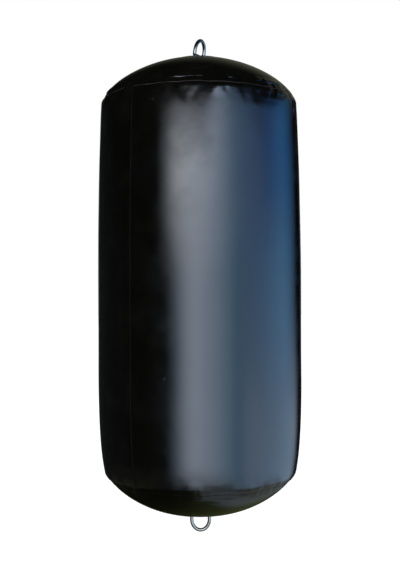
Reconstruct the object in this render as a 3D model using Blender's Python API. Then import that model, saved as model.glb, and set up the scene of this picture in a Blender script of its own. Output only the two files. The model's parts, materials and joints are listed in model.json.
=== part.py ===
"""Inflatable boat fender: a chamber of coated fabric, a steel ring at each end, and a valve.

Metres, +Z up. The origin is the point inside the top ring's bow where a lanyard bears. The fender
hangs below it. Its front, with the lengthwise seam at the left, looks along -Y.
"""

from dataclasses import dataclass
from math import acos, atan2, cos, hypot, pi, radians, sin

import bmesh
import bpy
from mathutils import Vector

MM = 0.001

# Fabric and clearances
FABRIC = 1.1 * MM  # one thickness of coated fabric
GAP = 0.3 * MM  # left between two pieces that touch
THREAD_GAP = 0.4 * MM  # left round a thread
SLIDE_GAP = 0.3 * MM  # left round a sliding stem or loop

# Chamber
CHAMBER_RADIUS = 228.6 * MM  # outside, at the widest level
SKIRT = 25.0 * MM  # how far an end panel reaches inside the wall
LAP_EDGE_ANGLE = -38.8  # the lap's free edge, in degrees from the front towards +X
LAP_WIDTH = 20.7 * MM
LAP_RISE = 8.8 * MM  # length over which the outer layer climbs over the inner one
LAP_MOUTH = 3.2 * MM  # from the end of that climb to the inner layer's edge

# Chamber's ends. Heights are counted from its widest level
TOP_BARREL = 402.6 * MM  # height of the shoulder, where the dome starts
TOP_DROP = 9.2 * MM  # how much narrower the shoulder is than the widest level
TOP_DOME = 107.0 * MM  # height of the dome above the shoulder
TOP_SEAM = 9.4 * MM  # how far the wall reaches past the shoulder
BOTTOM_BARREL = 417.0 * MM
BOTTOM_DROP = 13.7 * MM
BOTTOM_DOME = 94.8 * MM
BOTTOM_SEAM = 11.0 * MM

# Ring fixing
PATCH_RADIUS = 62.0 * MM
PATCH_THICKNESS = 1.2 * MM
DOUBLER_RADIUS = 58.0 * MM
DOUBLER_THICKNESS = 1.1 * MM
STRAP_WIDTH = 25.0 * MM
STRAP_THICKNESS = 1.5 * MM
STRAP_TAIL = 36.0 * MM  # flat length at each side of the bar
STRAP_FLANK = 50.0  # slope beside the bar, in degrees
STRAP_SIDE_GAP = 0.5 * MM  # from the strap's edge to where the ring starts to bend

# Steel ring
WIRE = 8.0 * MM
RING_BEND = 7.0 * MM  # radius of the two lower corners, at the bar's centre
RING_LEG = 6.0 * MM  # straight part of each side
RING_BOW = 24.0 * MM  # height of the half ellipse that closes it
TOP_RING_TURN = 60.0  # degrees about the fender's axis, from a bar along X
TOP_RING_LEAN = 11.0  # degrees from upright, about its own bar
BOTTOM_RING_TURN = 0.0
BOTTOM_RING_LEAN = 0.0

# Valve
BOOT_TO_PATCH = 6.0 * MM
BOOT_RADIUS = 42.0 * MM
BOOT_EDGE = 1.2 * MM  # its thickness at the rim
BOOT_SLOPE = 1.8 * MM  # and halfway between the rim and the hub
BOOT_TOP = 3.5 * MM  # its flat top above the fabric, on the valve's axis
BOOT_THICKNESS = 8.5 * MM
HUB_BORDER = 2.0 * MM  # from a clamping flange to the boot's edge
BORE_RADIUS = 12.5 * MM
NECK_WALL = 4.0 * MM
BARREL_WALL = 4.5 * MM
FLANGE_RADIUS = 26.0 * MM
FLANGE_THICKNESS = 3.5 * MM
NECK_LENGTH = 11.7 * MM
BARREL_LENGTH = 19.8 * MM
SEAT_LIP = 2.5 * MM  # how far the seat reaches into the bore
SEAT_OVERLAP = 2.5 * MM  # how far the disc and its seal reach past the seat's opening
SEAT_HEIGHT = 2.5 * MM
GASKET_THICKNESS = 1.5 * MM
NUT_FLANGE = 2.5 * MM
NUT_HEIGHT = 7.9 * MM
NUT_WALL = 4.2 * MM
NUT_NOTCH = 1.6 * MM
STEM_RADIUS = 2.3 * MM
GUIDE_THICKNESS = 2.5 * MM
GUIDE_RIM = 1.8 * MM
GUIDE_HUB_WALL = 2.0 * MM
SEAL_THICKNESS = 1.5 * MM
DISC_THICKNESS = 2.5 * MM
BUTTON_RADIUS = 7.0 * MM
BUTTON_HEIGHT = 4.5 * MM
BUTTON_ROOF = 1.7 * MM
BUTTON_CHAMFER = 0.8 * MM
SPRING_RADIUS = 4.2 * MM
SPRING_WIRE = 0.9 * MM
SPRING_LENGTH = 18.0 * MM
SPRING_TURNS = 5
CAP_WALL = 4.6 * MM
CAP_ROOF = 2.9 * MM
CAP_RIB = 0.8 * MM
CAP_CHAMFER = 1.6 * MM
PIN_RADIUS = 3.0 * MM
PIN_HEAD_LIP = 1.3 * MM
PIN_HEAD_HEIGHT = 1.8 * MM
LEASH_THICKNESS = 1.8 * MM
LEASH_WIDTH = 6.0 * MM
LEASH_RIM = 2.8 * MM
LEASH_STAND_OFF = 3.1 * MM  # from the cap's side to the leash

# Fineness of the round pieces
CHAMBER_SIDES = 48
PATCH_SIDES = 24
WIRE_SIDES = 8
VALVE_SIDES = 24
RIB_SIDES = 48
SPRING_SIDES = 5


@dataclass(frozen=True)
class End:
    """One end of the chamber. Heights run from the widest level towards this end's crown."""

    barrel: float  # height of the shoulder, where the dome starts
    drop: float  # how much narrower the shoulder is than the widest level
    barrel_power: float  # 2 is an even barrel, more keeps the wall straight for longer
    dome: float  # height of the dome above the shoulder
    dome_power: float  # near 1 turns in sharply at the shoulder
    crown_power: float  # 2 is a round crown, more is a flat one
    seam: float  # how far the wall reaches past the shoulder

    @property
    def seam_height(self):
        return self.barrel + self.seam

    @property
    def crown(self):
        return self.barrel + self.dome


TOP = End(TOP_BARREL, TOP_DROP, 2.06, TOP_DOME, 1.6, 1.8, TOP_SEAM)
BOTTOM = End(BOTTOM_BARREL, BOTTOM_DROP, 6.25, BOTTOM_DOME, 1.18, 2.45, BOTTOM_SEAM)

# Worked out from the sizes above
PANEL_RADIUS = CHAMBER_RADIUS - FABRIC - GAP  # the end panels' outside, under the wall
LAYER = FABRIC + GAP
BAR_LIFT = GAP + PATCH_THICKNESS + GAP + WIRE / 2  # ring's bar above the crown
RING_HALF_WIDTH = STRAP_WIDTH / 2 + STRAP_SIDE_GAP + RING_BEND
BAR_TO_CROWN = RING_BEND + RING_LEG + RING_BOW
BOW_STEPS = 15  # an odd number leaves one flat facet in the middle of the bow
BOW_STEP = pi / BOW_STEPS
FACET_CENTRE = BAR_TO_CROWN - RING_BOW * (1 - cos(BOW_STEP / 2))
# the bow's sections at the facet's two ends lean apart by this angle each way
FACET_RISE = RING_BOW * (cos(BOW_STEP / 2) - cos(BOW_STEP * 3 / 2))
FACET_RUN = RING_HALF_WIDTH * (sin(BOW_STEP / 2) + sin(BOW_STEP * 3 / 2))
FACET_LEAN = atan2(FACET_RISE, FACET_RUN)
BOW_FACET = FACET_CENTRE - WIRE / 2 * cos(pi / WIRE_SIDES) * cos(FACET_LEAN)

VALVE_OFFSET = PATCH_RADIUS + BOOT_TO_PATCH + BOOT_RADIUS
NECK_RADIUS = BORE_RADIUS + NECK_WALL
BARREL_RADIUS = BORE_RADIUS + BARREL_WALL
BARREL_HOLE = BARREL_RADIUS + GAP
HUB_RADIUS = FLANGE_RADIUS + HUB_BORDER
BOOT_BASE = BOOT_TOP - BOOT_THICKNESS
GASKET_BASE = BOOT_BASE - GAP - GASKET_THICKNESS
FLANGE_BASE = BOOT_TOP + GAP
FLANGE_TOP = FLANGE_BASE + FLANGE_THICKNESS
NECK_TOP = FLANGE_TOP + NECK_LENGTH
BARREL_END = FLANGE_BASE - BARREL_LENGTH
SEAT_TOP = BARREL_END + SEAT_HEIGHT
GUIDE_BASE = SEAT_TOP + GAP
SPRING_BASE = GUIDE_BASE + GUIDE_THICKNESS + GAP
BUTTON_BASE = SPRING_BASE + SPRING_LENGTH + GAP
BUTTON_TOP = BUTTON_BASE + BUTTON_HEIGHT
STEM_TOP = BUTTON_TOP - BUTTON_ROOF - GAP
SEAL_TOP = BARREL_END - GAP
DISC_TOP = SEAL_TOP - SEAL_THICKNESS - GAP
DISC_RADIUS = BORE_RADIUS - SEAT_LIP + SEAT_OVERLAP
LEASH_LOOP_BASE = FLANGE_TOP + GAP
CAP_BASE = LEASH_LOOP_BASE + LEASH_THICKNESS + GAP
CAP_CEILING = NECK_TOP + GAP + SEAL_THICKNESS + GAP
CAP_TOP = CAP_CEILING + CAP_ROOF
CAP_BORE = NECK_RADIUS + THREAD_GAP
CAP_RADIUS = CAP_BORE + CAP_WALL
EYE_BASE = CAP_TOP + GAP
PIN_HEAD_BASE = EYE_BASE + LEASH_THICKNESS + GAP


def make_material(name, colour, roughness, metallic=0.0):
    material = bpy.data.materials.new(name)
    material.use_nodes = True
    shader = material.node_tree.nodes["Principled BSDF"]
    shader.inputs["Base Color"].default_value = (*colour, 1.0)
    shader.inputs["Roughness"].default_value = roughness
    shader.inputs["Metallic"].default_value = metallic
    return material


def add_piece(name, mesh_data, material, parent):
    """Turn a bmesh into a named object, with its faces pointing out."""
    bmesh.ops.recalc_face_normals(mesh_data, faces=mesh_data.faces)
    mesh = bpy.data.meshes.new(name)
    mesh_data.to_mesh(mesh)
    mesh_data.free()
    mesh.shade_smooth()
    mesh.set_sharp_from_angle(angle=radians(35))
    piece = bpy.data.objects.new(name, mesh)
    piece.parent = parent
    bpy.context.scene.collection.objects.link(piece)
    if material:
        mesh.materials.append(material)
    return piece


def add_empty(name, parent=None, location=(0, 0, 0), rotation=(0, 0, 0)):
    empty = bpy.data.objects.new(name, None)
    empty.empty_display_size = 0.03
    empty.parent = parent
    empty.location = location
    empty.rotation_euler = rotation
    bpy.context.scene.collection.objects.link(empty)
    return empty


def add_boolean(piece, other, operation):
    """Cut or join with a hidden object. The exact solver is the default."""
    other.hide_render = True
    other.display_type = "WIRE"
    modifier = piece.modifiers.new(operation.lower(), "BOOLEAN")
    modifier.operation = operation
    modifier.object = other


# Shapes shared by many pieces


def join_rings(mesh, lower, upper):
    """Faces between two rings of points. A ring of one point is a pole."""
    count = max(len(lower), len(upper))
    for i in range(count):
        j = (i + 1) % count
        corners = [lower[i % len(lower)], lower[j % len(lower)]]
        corners += [upper[j % len(upper)], upper[i % len(upper)]]
        mesh.faces.new(dict.fromkeys(corners))


def lathe(profile, sides=VALVE_SIDES, radius_rule=None):
    """Turn a closed profile of (radius, height) points about Z."""
    mesh = bmesh.new()
    rings = []
    for index, (radius, height) in enumerate(profile):
        if radius == 0:
            rings.append([mesh.verts.new((0, 0, height))])
            continue
        ring = []
        for side in range(sides):
            angle = 2 * pi * side / sides
            reach = radius_rule(index, side, radius) if radius_rule else radius
            ring.append(mesh.verts.new((reach * cos(angle), reach * sin(angle), height)))
        rings.append(ring)
    for lower, upper in zip(rings, rings[1:] + rings[:1]):
        if len(lower) > 1 or len(upper) > 1:
            join_rings(mesh, lower, upper)
    return mesh


def washer(inner, outer, base, thickness):
    top = base + thickness
    return lathe([(inner, base), (outer, base), (outer, top), (inner, top)])


def tube(points, radius, sides, flat_axis, closed):
    """A round bar along a path, with one of its flats square to flat_axis."""
    mesh = bmesh.new()
    rings = []
    count = len(points)
    for i, point in enumerate(points):
        ahead = points[(i + 1) % count] if closed or i < count - 1 else point
        behind = points[i - 1] if closed or i > 0 else point
        along = (ahead - behind).normalized()
        up = (flat_axis - along * flat_axis.dot(along)).normalized()
        side = along.cross(up)
        ring = []
        for k in range(sides):
            angle = 2 * pi * (k + 0.5) / sides
            ring.append(mesh.verts.new(point + radius * (cos(angle) * up + sin(angle) * side)))
        rings.append(ring)
    for lower, upper in zip(rings, rings[1:]):
        join_rings(mesh, lower, upper)
    if closed:
        join_rings(mesh, rings[-1], rings[0])
    else:
        mesh.faces.new(rings[0])
        mesh.faces.new(rings[-1])
    return mesh


def ribbon(path, thickness, width):
    """A flat strip of even thickness. The path gives its underside as (y, z), its width is along X."""
    mesh = bmesh.new()
    rings = []
    for i, (y, z) in enumerate(path):
        ahead = path[min(i + 1, len(path) - 1)]
        behind = path[max(i - 1, 0)]
        run, rise = ahead[0] - behind[0], ahead[1] - behind[1]
        length = hypot(run, rise)
        top = (y - rise / length * thickness, z + run / length * thickness)
        corners = [(-width / 2, y, z), (width / 2, y, z), (width / 2, *top), (-width / 2, *top)]
        rings.append([mesh.verts.new(corner) for corner in corners])
    for lower, upper in zip(rings, rings[1:]):
        join_rings(mesh, lower, upper)
    mesh.faces.new(rings[0])
    mesh.faces.new(rings[-1])
    return mesh


# The chamber's shape. A meridian point is (radius, height) on an end panel's outside


def barrel_point(end, height):
    share = abs(height) / end.barrel
    return PANEL_RADIUS - end.drop * share**end.barrel_power, height


def dome_point(end, rise):
    """A point at a share of the dome's height."""
    rim = PANEL_RADIUS - end.drop
    return rim * (1 - rise**end.dome_power) ** (1 / end.crown_power), end.barrel + rise * end.dome


def height_at_radius(end, radius):
    """The dome's height at a distance from its axis."""
    rim = PANEL_RADIUS - end.drop
    return end.barrel + end.dome * (1 - (radius / rim) ** end.crown_power) ** (1 / end.dome_power)


def meridian_point(end, height):
    if height <= end.barrel:
        return barrel_point(end, height)
    return dome_point(end, (height - end.barrel) / end.dome)


def shift_point(end, point, distance):
    """Move a meridian point along the surface's normal, outwards where distance is positive."""
    radius, height = point
    if radius == 0:
        return 0, height + distance
    step = 0.01 * MM
    if height > end.barrel + end.dome / 2:
        inner, outer = radius - step, radius + step
        run = outer - inner
        rise = height_at_radius(end, outer) - height_at_radius(end, inner)
    else:
        below = meridian_point(end, height - step)
        above = meridian_point(end, height + step)
        run, rise = below[0] - above[0], below[1] - above[1]
    length = hypot(run, rise)
    return radius - rise / length * distance, height + run / length * distance


def crown_rows(end, radius):
    """Rows of the panel, patch and doubler near the crown, from a radius in to the pole."""
    steps = 4
    radii = [radius * k / steps for k in range(steps, 0, -1)]
    return [(r, height_at_radius(end, r)) for r in radii] + [(0, end.crown)]


def skirt_rows(end):
    heights = (end.seam_height - SKIRT, end.barrel, end.seam_height)
    return [meridian_point(end, height) for height in heights]


def panel_rows(end):
    """Rows of an end panel, from its skirt's edge to its pole."""
    steps = 7
    start = acos(end.seam / end.dome)
    finish = acos((height_at_radius(end, PATCH_RADIUS) - end.barrel) / end.dome)
    angles = [start + (finish - start) * k / steps for k in range(1, steps)]
    dome = [dome_point(end, cos(angle)) for angle in angles]
    return skirt_rows(end) + dome + crown_rows(end, PATCH_RADIUS)


def on_circle(radius, height, angle):
    """A point at an angle from the front towards +X."""
    return radius * sin(angle), -radius * cos(angle), height


def domed_sheet(end, rows, outside, inside, sides, start_angle):
    """A round sheet that follows an end's surface, between two distances from it."""
    mesh = bmesh.new()
    surfaces = []
    for distance in (outside, inside):
        rings = []
        for row in rows:
            radius, height = shift_point(end, row, distance)
            count = 1 if radius == 0 else sides
            angles = [start_angle + 2 * pi * k / sides for k in range(count)]
            rings.append([mesh.verts.new(on_circle(radius, height, a)) for a in angles])
        for lower, upper in zip(rings, rings[1:]):
            join_rings(mesh, lower, upper)
        surfaces.append(rings)
    join_rings(mesh, surfaces[0][0], surfaces[1][0])
    return mesh


def lap_angles():
    """The free edge, the inner layer's edge and the climb's two ends, as angles."""
    free = radians(LAP_EDGE_ANGLE)
    inner = free - LAP_WIDTH / CHAMBER_RADIUS
    climb_end = inner - LAP_MOUTH / CHAMBER_RADIUS
    climb_start = climb_end - LAP_RISE / CHAMBER_RADIUS
    return free, inner, climb_end, climb_start


# Chamber pieces


def make_side_wall(parent, material):
    """A rolled sheet: the outer layer of its lap lies one thickness further out."""
    free, inner, climb_end, climb_start = lap_angles()
    turn = 2 * pi
    pitch = turn / CHAMBER_SIDES
    single = climb_start + turn - inner  # the part of the turn with one layer only
    columns = [(inner + pitch * k, 0) for k in range(CHAMBER_SIDES) if pitch * k < single]
    columns.append((inner + single, 0))
    lap_steps = 4
    for k in range(lap_steps + 1):
        columns.append((climb_end + turn + (free - climb_end) * k / lap_steps, LAYER))

    # rows from the lower edge to the upper one, closer together towards the ends
    def barrel_rows(end, steps):
        limit = end.seam_height - SKIRT
        return [barrel_point(end, limit * (k / steps) ** 0.5) for k in range(1, steps)]

    lower = [(BOTTOM, point, -1) for point in barrel_rows(BOTTOM, 7) + skirt_rows(BOTTOM)]
    upper = [(TOP, point, 1) for point in barrel_rows(TOP, 5) + skirt_rows(TOP)]
    rows = lower[::-1] + [(TOP, barrel_point(TOP, 0), 1)] + upper

    mesh = bmesh.new()
    sheets = []
    for angle, lift in columns:
        column = []
        for end, point, sign in rows:
            faces = []
            for distance in (GAP + lift, GAP + FABRIC + lift):
                radius, height = shift_point(end, point, distance)
                faces.append(mesh.verts.new(on_circle(radius, sign * height, angle)))
            column.append(faces)
        sheets.append(column)
    for left, right in zip(sheets, sheets[1:]):
        for side in (0, 1):
            for a, b, c, d in zip(left, right, right[1:], left[1:]):
                mesh.faces.new((a[side], b[side], c[side], d[side]))
        for row in (0, -1):
            mesh.faces.new((left[row][0], right[row][0], right[row][1], left[row][1]))
    for column in (sheets[0], sheets[-1]):
        for a, b in zip(column, column[1:]):
            mesh.faces.new((a[0], b[0], b[1], a[1]))
    return add_piece("side_wall", mesh, material, parent)


def make_end_pieces(label, end, parent, start_angle, fabric, backing):
    """The domed panel, the patch outside and the doubler inside."""
    panel = domed_sheet(end, panel_rows(end), 0, -FABRIC, CHAMBER_SIDES, start_angle)
    panel = add_piece(f"{label}_end_panel", panel, fabric, parent)

    rows = crown_rows(end, PATCH_RADIUS)
    patch = domed_sheet(end, rows, GAP + PATCH_THICKNESS, GAP, PATCH_SIDES, start_angle)
    add_piece(f"{label}_ring_patch", patch, fabric, parent)

    rows = crown_rows(end, DOUBLER_RADIUS)
    top = -FABRIC - GAP
    doubler = domed_sheet(end, rows, top, top - DOUBLER_THICKNESS, PATCH_SIDES, start_angle)
    add_piece(f"{label}_doubler", doubler, backing, parent)
    return panel


# Ring fixing


def strap_path(end):
    """The strap's underside in (y, z): a tail, up the flank, over the bar and down again."""
    bar = end.crown + BAR_LIFT
    reach = WIRE / 2 + GAP
    flank = radians(STRAP_FLANK)
    leave = (reach * sin(flank), bar + reach * cos(flank))
    lift = GAP + PATCH_THICKNESS + GAP
    fall = leave[1] - height_at_radius(end, leave[0]) - lift
    foot = leave[0] + fall / sin(flank) * cos(flank)
    steps = 5
    tail = []
    for k in range(steps + 1):
        y = foot + STRAP_TAIL * (1 - k / steps)
        tail.append((y, height_at_radius(end, y) + lift))
    arc_steps = 10
    arc = []
    for k in range(arc_steps + 1):
        angle = flank - 2 * flank * k / arc_steps
        arc.append((reach * sin(angle), bar + reach * cos(angle)))
    mirrored = [(-y, z) for y, z in tail]
    return mirrored + arc[::-1] + tail[::-1]


def ring_path():
    """Centre line of the ring in the XZ plane, its bar along X and its bow towards +Z."""
    straight = RING_HALF_WIDTH - RING_BEND
    bend_steps = 4
    right = []
    for k in range(bend_steps + 1):
        angle = pi / 2 * k / bend_steps
        right.append((straight + RING_BEND * sin(angle), RING_BEND * (1 - cos(angle))))
    shoulder = RING_BEND + RING_LEG
    bow = []
    for k in range(BOW_STEPS + 1):
        angle = pi * k / BOW_STEPS
        bow.append((RING_HALF_WIDTH * cos(angle), shoulder + RING_BOW * sin(angle)))
    left = [(-x, z) for x, z in reversed(right)]
    return [Vector((x, 0, z)) for x, z in right + bow + left]


def ring_direction(turn, lean):
    """Unit vector from the bar towards the bow, for a ring on the top end."""
    return Vector((sin(lean) * sin(turn), -sin(lean) * cos(turn), cos(lean)))


def make_ring_fixing(label, end, parent, turn, lean, webbing, steel):
    seat = add_empty(f"{label}_ring_seat", parent, rotation=(0, 0, turn))
    strap = ribbon(strap_path(end), STRAP_THICKNESS, STRAP_WIDTH)
    add_piece(f"{label}_ring_strap", strap, webbing, seat)
    pivot = add_empty(f"{label}_ring_pivot", seat, (0, 0, end.crown + BAR_LIFT), (lean, 0, 0))
    ring = tube(ring_path(), WIRE / 2, WIRE_SIDES, Vector((0, 1, 0)), closed=True)
    add_piece(f"{label}_ring", ring, steel, pivot)


# Valve pieces. Heights run outwards along the valve's axis from the panel's outside


def valve_tilt():
    """Slope of the dome under the valve."""
    point = (VALVE_OFFSET, height_at_radius(TOP, VALVE_OFFSET))
    shifted = shift_point(TOP, point, MM)
    return acos((shifted[1] - point[1]) / MM)


def fabric_height(x, y, tilt):
    """Height of the panel's outside at a place beside the valve's axis."""
    low, high = -BOOT_RADIUS, BOOT_RADIUS
    base = height_at_radius(TOP, VALVE_OFFSET)
    for _ in range(40):
        middle = (low + high) / 2
        across = VALVE_OFFSET + y * cos(tilt) + middle * sin(tilt)
        up = base - y * sin(tilt) + middle * cos(tilt)
        if up > height_at_radius(TOP, hypot(x, across)):
            high = middle
        else:
            low = middle
    return low


def make_boot(parent, material):
    """Flexible base: a hub through the panel, and a flange that follows the dome."""
    tilt = valve_tilt()
    middle = (HUB_RADIUS + BOOT_RADIUS) / 2
    # each point is a radius, a height, and whether that height is counted from the fabric
    profile = [
        (BARREL_HOLE, BOOT_BASE, False),
        (HUB_RADIUS, BOOT_BASE, False),
        (HUB_RADIUS, GAP, True),
        (middle, GAP, True),
        (BOOT_RADIUS, GAP, True),
        (BOOT_RADIUS, GAP + BOOT_EDGE, True),
        (middle, GAP + BOOT_SLOPE, True),
        (HUB_RADIUS + HUB_BORDER, BOOT_TOP, False),
        (BARREL_HOLE, BOOT_TOP, False),
    ]
    mesh = bmesh.new()
    rings = []
    for radius, height, on_fabric in profile:
        ring = []
        for side in range(VALVE_SIDES):
            angle = 2 * pi * side / VALVE_SIDES
            x, y = radius * cos(angle), radius * sin(angle)
            base = fabric_height(x, y, tilt) if on_fabric else 0
            ring.append(mesh.verts.new((x, y, base + height)))
        rings.append(ring)
    for lower, upper in zip(rings, rings[1:] + rings[:1]):
        join_rings(mesh, lower, upper)
    return add_piece("valve_boot", mesh, material, parent)


def cut_valve_hole(panel, parent):
    depth = BOOT_THICKNESS * 2
    hole = HUB_RADIUS + GAP
    cutter = lathe([(0, -depth), (hole, -depth), (hole, depth), (0, depth)])
    add_boolean(panel, add_piece("valve_hole_cutter", cutter, None, parent), "DIFFERENCE")


def make_valve_body(parent, material):
    lip = BORE_RADIUS - SEAT_LIP
    profile = [
        (lip, BARREL_END),
        (BARREL_RADIUS, BARREL_END),
        (BARREL_RADIUS, FLANGE_BASE),
        (FLANGE_RADIUS, FLANGE_BASE),
        (FLANGE_RADIUS, FLANGE_TOP),
        (NECK_RADIUS, FLANGE_TOP),
        (NECK_RADIUS, NECK_TOP),
        (BORE_RADIUS, NECK_TOP),
        (BORE_RADIUS, SEAT_TOP),
        (lip, SEAT_TOP),
    ]
    add_piece("valve_body", lathe(profile), material, parent)


def make_nut(parent, material):
    top = GASKET_BASE - GAP
    body = BARREL_HOLE + NUT_WALL
    profile = [
        (BARREL_HOLE, top),
        (BARREL_HOLE, top - NUT_HEIGHT),
        (body, top - NUT_HEIGHT),
        (body, top - NUT_FLANGE),
        (FLANGE_RADIUS, top - NUT_FLANGE),
        (FLANGE_RADIUS, top),
    ]
    grip = (2, 3)  # the profile's two points on the body's side carry the notches
    notch_sides = 3

    def radius_rule(index, side, radius):
        in_notch = side // notch_sides % 2
        return radius - NUT_NOTCH if index in grip and in_notch else radius

    add_piece("valve_nut", lathe(profile, VALVE_SIDES, radius_rule), material, parent)


def make_stem_guide(parent, material):
    """A hub and a rim with three spokes between them, cut from one plate."""
    rim = BORE_RADIUS - GAP
    radii = [STEM_RADIUS + SLIDE_GAP, STEM_RADIUS + SLIDE_GAP + GUIDE_HUB_WALL, rim - GUIDE_RIM, rim]
    mesh = bmesh.new()
    levels = []
    for height in (GUIDE_BASE, GUIDE_BASE + GUIDE_THICKNESS):
        rings = []
        for radius in radii:
            angles = [2 * pi * side / VALVE_SIDES for side in range(VALVE_SIDES)]
            rings.append([mesh.verts.new((radius * cos(a), radius * sin(a), height)) for a in angles])
        levels.append(rings)
    spoke_every = VALVE_SIDES // 3

    def is_solid(band, side):
        return band != 1 or side % spoke_every == 0

    bottom, top = levels
    for side in range(VALVE_SIDES):
        after = (side + 1) % VALVE_SIDES
        for band in range(3):
            if not is_solid(band, side):
                continue
            for rings in levels:
                near, far = rings[band], rings[band + 1]
                mesh.faces.new((near[side], near[after], far[after], far[side]))
            for edge, beyond in ((after, side + 1), (side, side - 1)):
                if not is_solid(band, beyond % VALVE_SIDES):
                    lower = (bottom[band][edge], bottom[band + 1][edge])
                    upper = (top[band + 1][edge], top[band][edge])
                    mesh.faces.new(lower + upper)
        for ring in range(4):
            inside = ring > 0 and is_solid(ring - 1, side)
            outside = ring < 3 and is_solid(ring, side)
            if inside != outside:
                lower = (bottom[ring][side], bottom[ring][after])
                upper = (top[ring][after], top[ring][side])
                mesh.faces.new(lower + upper)
    add_piece("stem_guide", mesh, material, parent)


def make_poppet(parent, plastic, rubber, button_plastic):
    """Stem and disc in one, the seal ring on the disc, and the button on the stem."""
    profile = [
        (0, DISC_TOP - DISC_THICKNESS),
        (DISC_RADIUS, DISC_TOP - DISC_THICKNESS),
        (DISC_RADIUS, DISC_TOP),
        (STEM_RADIUS, DISC_TOP),
        (STEM_RADIUS, STEM_TOP),
        (0, STEM_TOP),
    ]
    add_piece("valve_poppet", lathe(profile), plastic, parent)

    seal = washer(STEM_RADIUS + GAP, DISC_RADIUS, SEAL_TOP - SEAL_THICKNESS, SEAL_THICKNESS)
    add_piece("poppet_seal", seal, rubber, parent)

    socket = STEM_RADIUS + GAP
    roof = BUTTON_TOP - BUTTON_ROOF
    profile = [
        (0, BUTTON_TOP),
        (BUTTON_RADIUS - BUTTON_CHAMFER, BUTTON_TOP),
        (BUTTON_RADIUS, BUTTON_TOP - BUTTON_CHAMFER),
        (BUTTON_RADIUS, BUTTON_BASE),
        (socket, BUTTON_BASE),
        (socket, roof),
        (0, roof),
    ]
    add_piece("poppet_button", lathe(profile), button_plastic, parent)


def make_spring(parent, steel):
    steps_per_turn = 10
    count = SPRING_TURNS * steps_per_turn
    climb = SPRING_LENGTH - SPRING_WIRE
    points = []
    for k in range(count + 1):
        angle = 2 * pi * k / steps_per_turn
        height = SPRING_BASE + SPRING_WIRE / 2 + climb * k / count
        points.append(Vector((SPRING_RADIUS * cos(angle), SPRING_RADIUS * sin(angle), height)))
    coil = tube(points, SPRING_WIRE / 2, SPRING_SIDES, Vector((0, 0, 1)), closed=False)
    add_piece("poppet_spring", coil, steel, parent)


def make_cap(parent, plastic, rubber):
    """Screw cap with grip ribs, a headed pin for the leash's eye, and a seal ring inside."""
    head = PIN_RADIUS + PIN_HEAD_LIP
    profile = [
        (0, PIN_HEAD_BASE + PIN_HEAD_HEIGHT),
        (head, PIN_HEAD_BASE + PIN_HEAD_HEIGHT),
        (head, PIN_HEAD_BASE),
        (PIN_RADIUS, PIN_HEAD_BASE),
        (PIN_RADIUS, CAP_TOP),
        (CAP_RADIUS - CAP_CHAMFER, CAP_TOP),
        (CAP_RADIUS, CAP_TOP - CAP_CHAMFER),
        (CAP_RADIUS, CAP_BASE),
        (CAP_BORE, CAP_BASE),
        (CAP_BORE, CAP_CEILING),
        (0, CAP_CEILING),
    ]
    ribbed = (6, 7)  # the profile's two points on the cap's side carry the ribs

    def radius_rule(index, side, radius):
        return radius - CAP_RIB if index in ribbed and side // 2 % 2 else radius

    add_piece("valve_cap", lathe(profile, RIB_SIDES, radius_rule), plastic, parent)
    width = NECK_WALL - THREAD_GAP
    seal = washer(BORE_RADIUS + THREAD_GAP, BORE_RADIUS + width, NECK_TOP + GAP, SEAL_THICKNESS)
    add_piece("cap_seal", seal, rubber, parent)


def make_leash(parent, material):
    """A loop round the neck, a strip up the cap's side, and an eye on the cap's pin."""
    loop_inner = NECK_RADIUS + SLIDE_GAP
    loop = washer(loop_inner, loop_inner + LEASH_RIM, LEASH_LOOP_BASE, LEASH_THICKNESS)
    leash = add_piece("cap_leash", loop, material, parent)

    eye_inner = PIN_RADIUS + SLIDE_GAP
    eye = washer(eye_inner, eye_inner + LEASH_RIM, EYE_BASE, LEASH_THICKNESS)
    far = CAP_RADIUS + LEASH_STAND_OFF
    corner = LEASH_STAND_OFF
    sink = LEASH_RIM / 2
    # the strip's underside, from the loop out and up, and over the cap to the eye
    path = [(loop_inner + sink, LEASH_LOOP_BASE)]
    bend_steps = 4
    bend = far + LEASH_THICKNESS - corner
    top = EYE_BASE + LEASH_THICKNESS
    angles = [pi / 2 * k / bend_steps for k in range(bend_steps + 1)]
    path += [(bend + corner * sin(a), LEASH_LOOP_BASE + corner * (1 - cos(a))) for a in angles]
    path += [(bend + corner * cos(a), top - corner * (1 - sin(a))) for a in angles]
    path.append((eye_inner + sink, top))
    strip = ribbon(path, LEASH_THICKNESS, LEASH_WIDTH)
    add_boolean(leash, add_piece("leash_strip_guide", strip, None, parent), "UNION")
    add_boolean(leash, add_piece("leash_eye_guide", eye, None, parent), "UNION")


def make_valve(panel, parent, plastics):
    black, pale, rubber, vinyl, steel = plastics
    tilt = valve_tilt()
    place = (0, VALVE_OFFSET, height_at_radius(TOP, VALVE_OFFSET))
    seat = add_empty("valve_seat", parent, place, (-tilt, 0, 0))
    make_boot(seat, vinyl)
    cut_valve_hole(panel, seat)
    make_valve_body(seat, black)
    gasket = washer(BARREL_HOLE, FLANGE_RADIUS - GAP, GASKET_BASE, GASKET_THICKNESS)
    add_piece("valve_gasket", gasket, rubber, seat)
    make_nut(seat, black)
    make_stem_guide(seat, pale)
    make_poppet(seat, pale, rubber, black)
    make_spring(seat, steel)
    make_cap(seat, black, rubber)
    make_leash(seat, vinyl)


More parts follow.
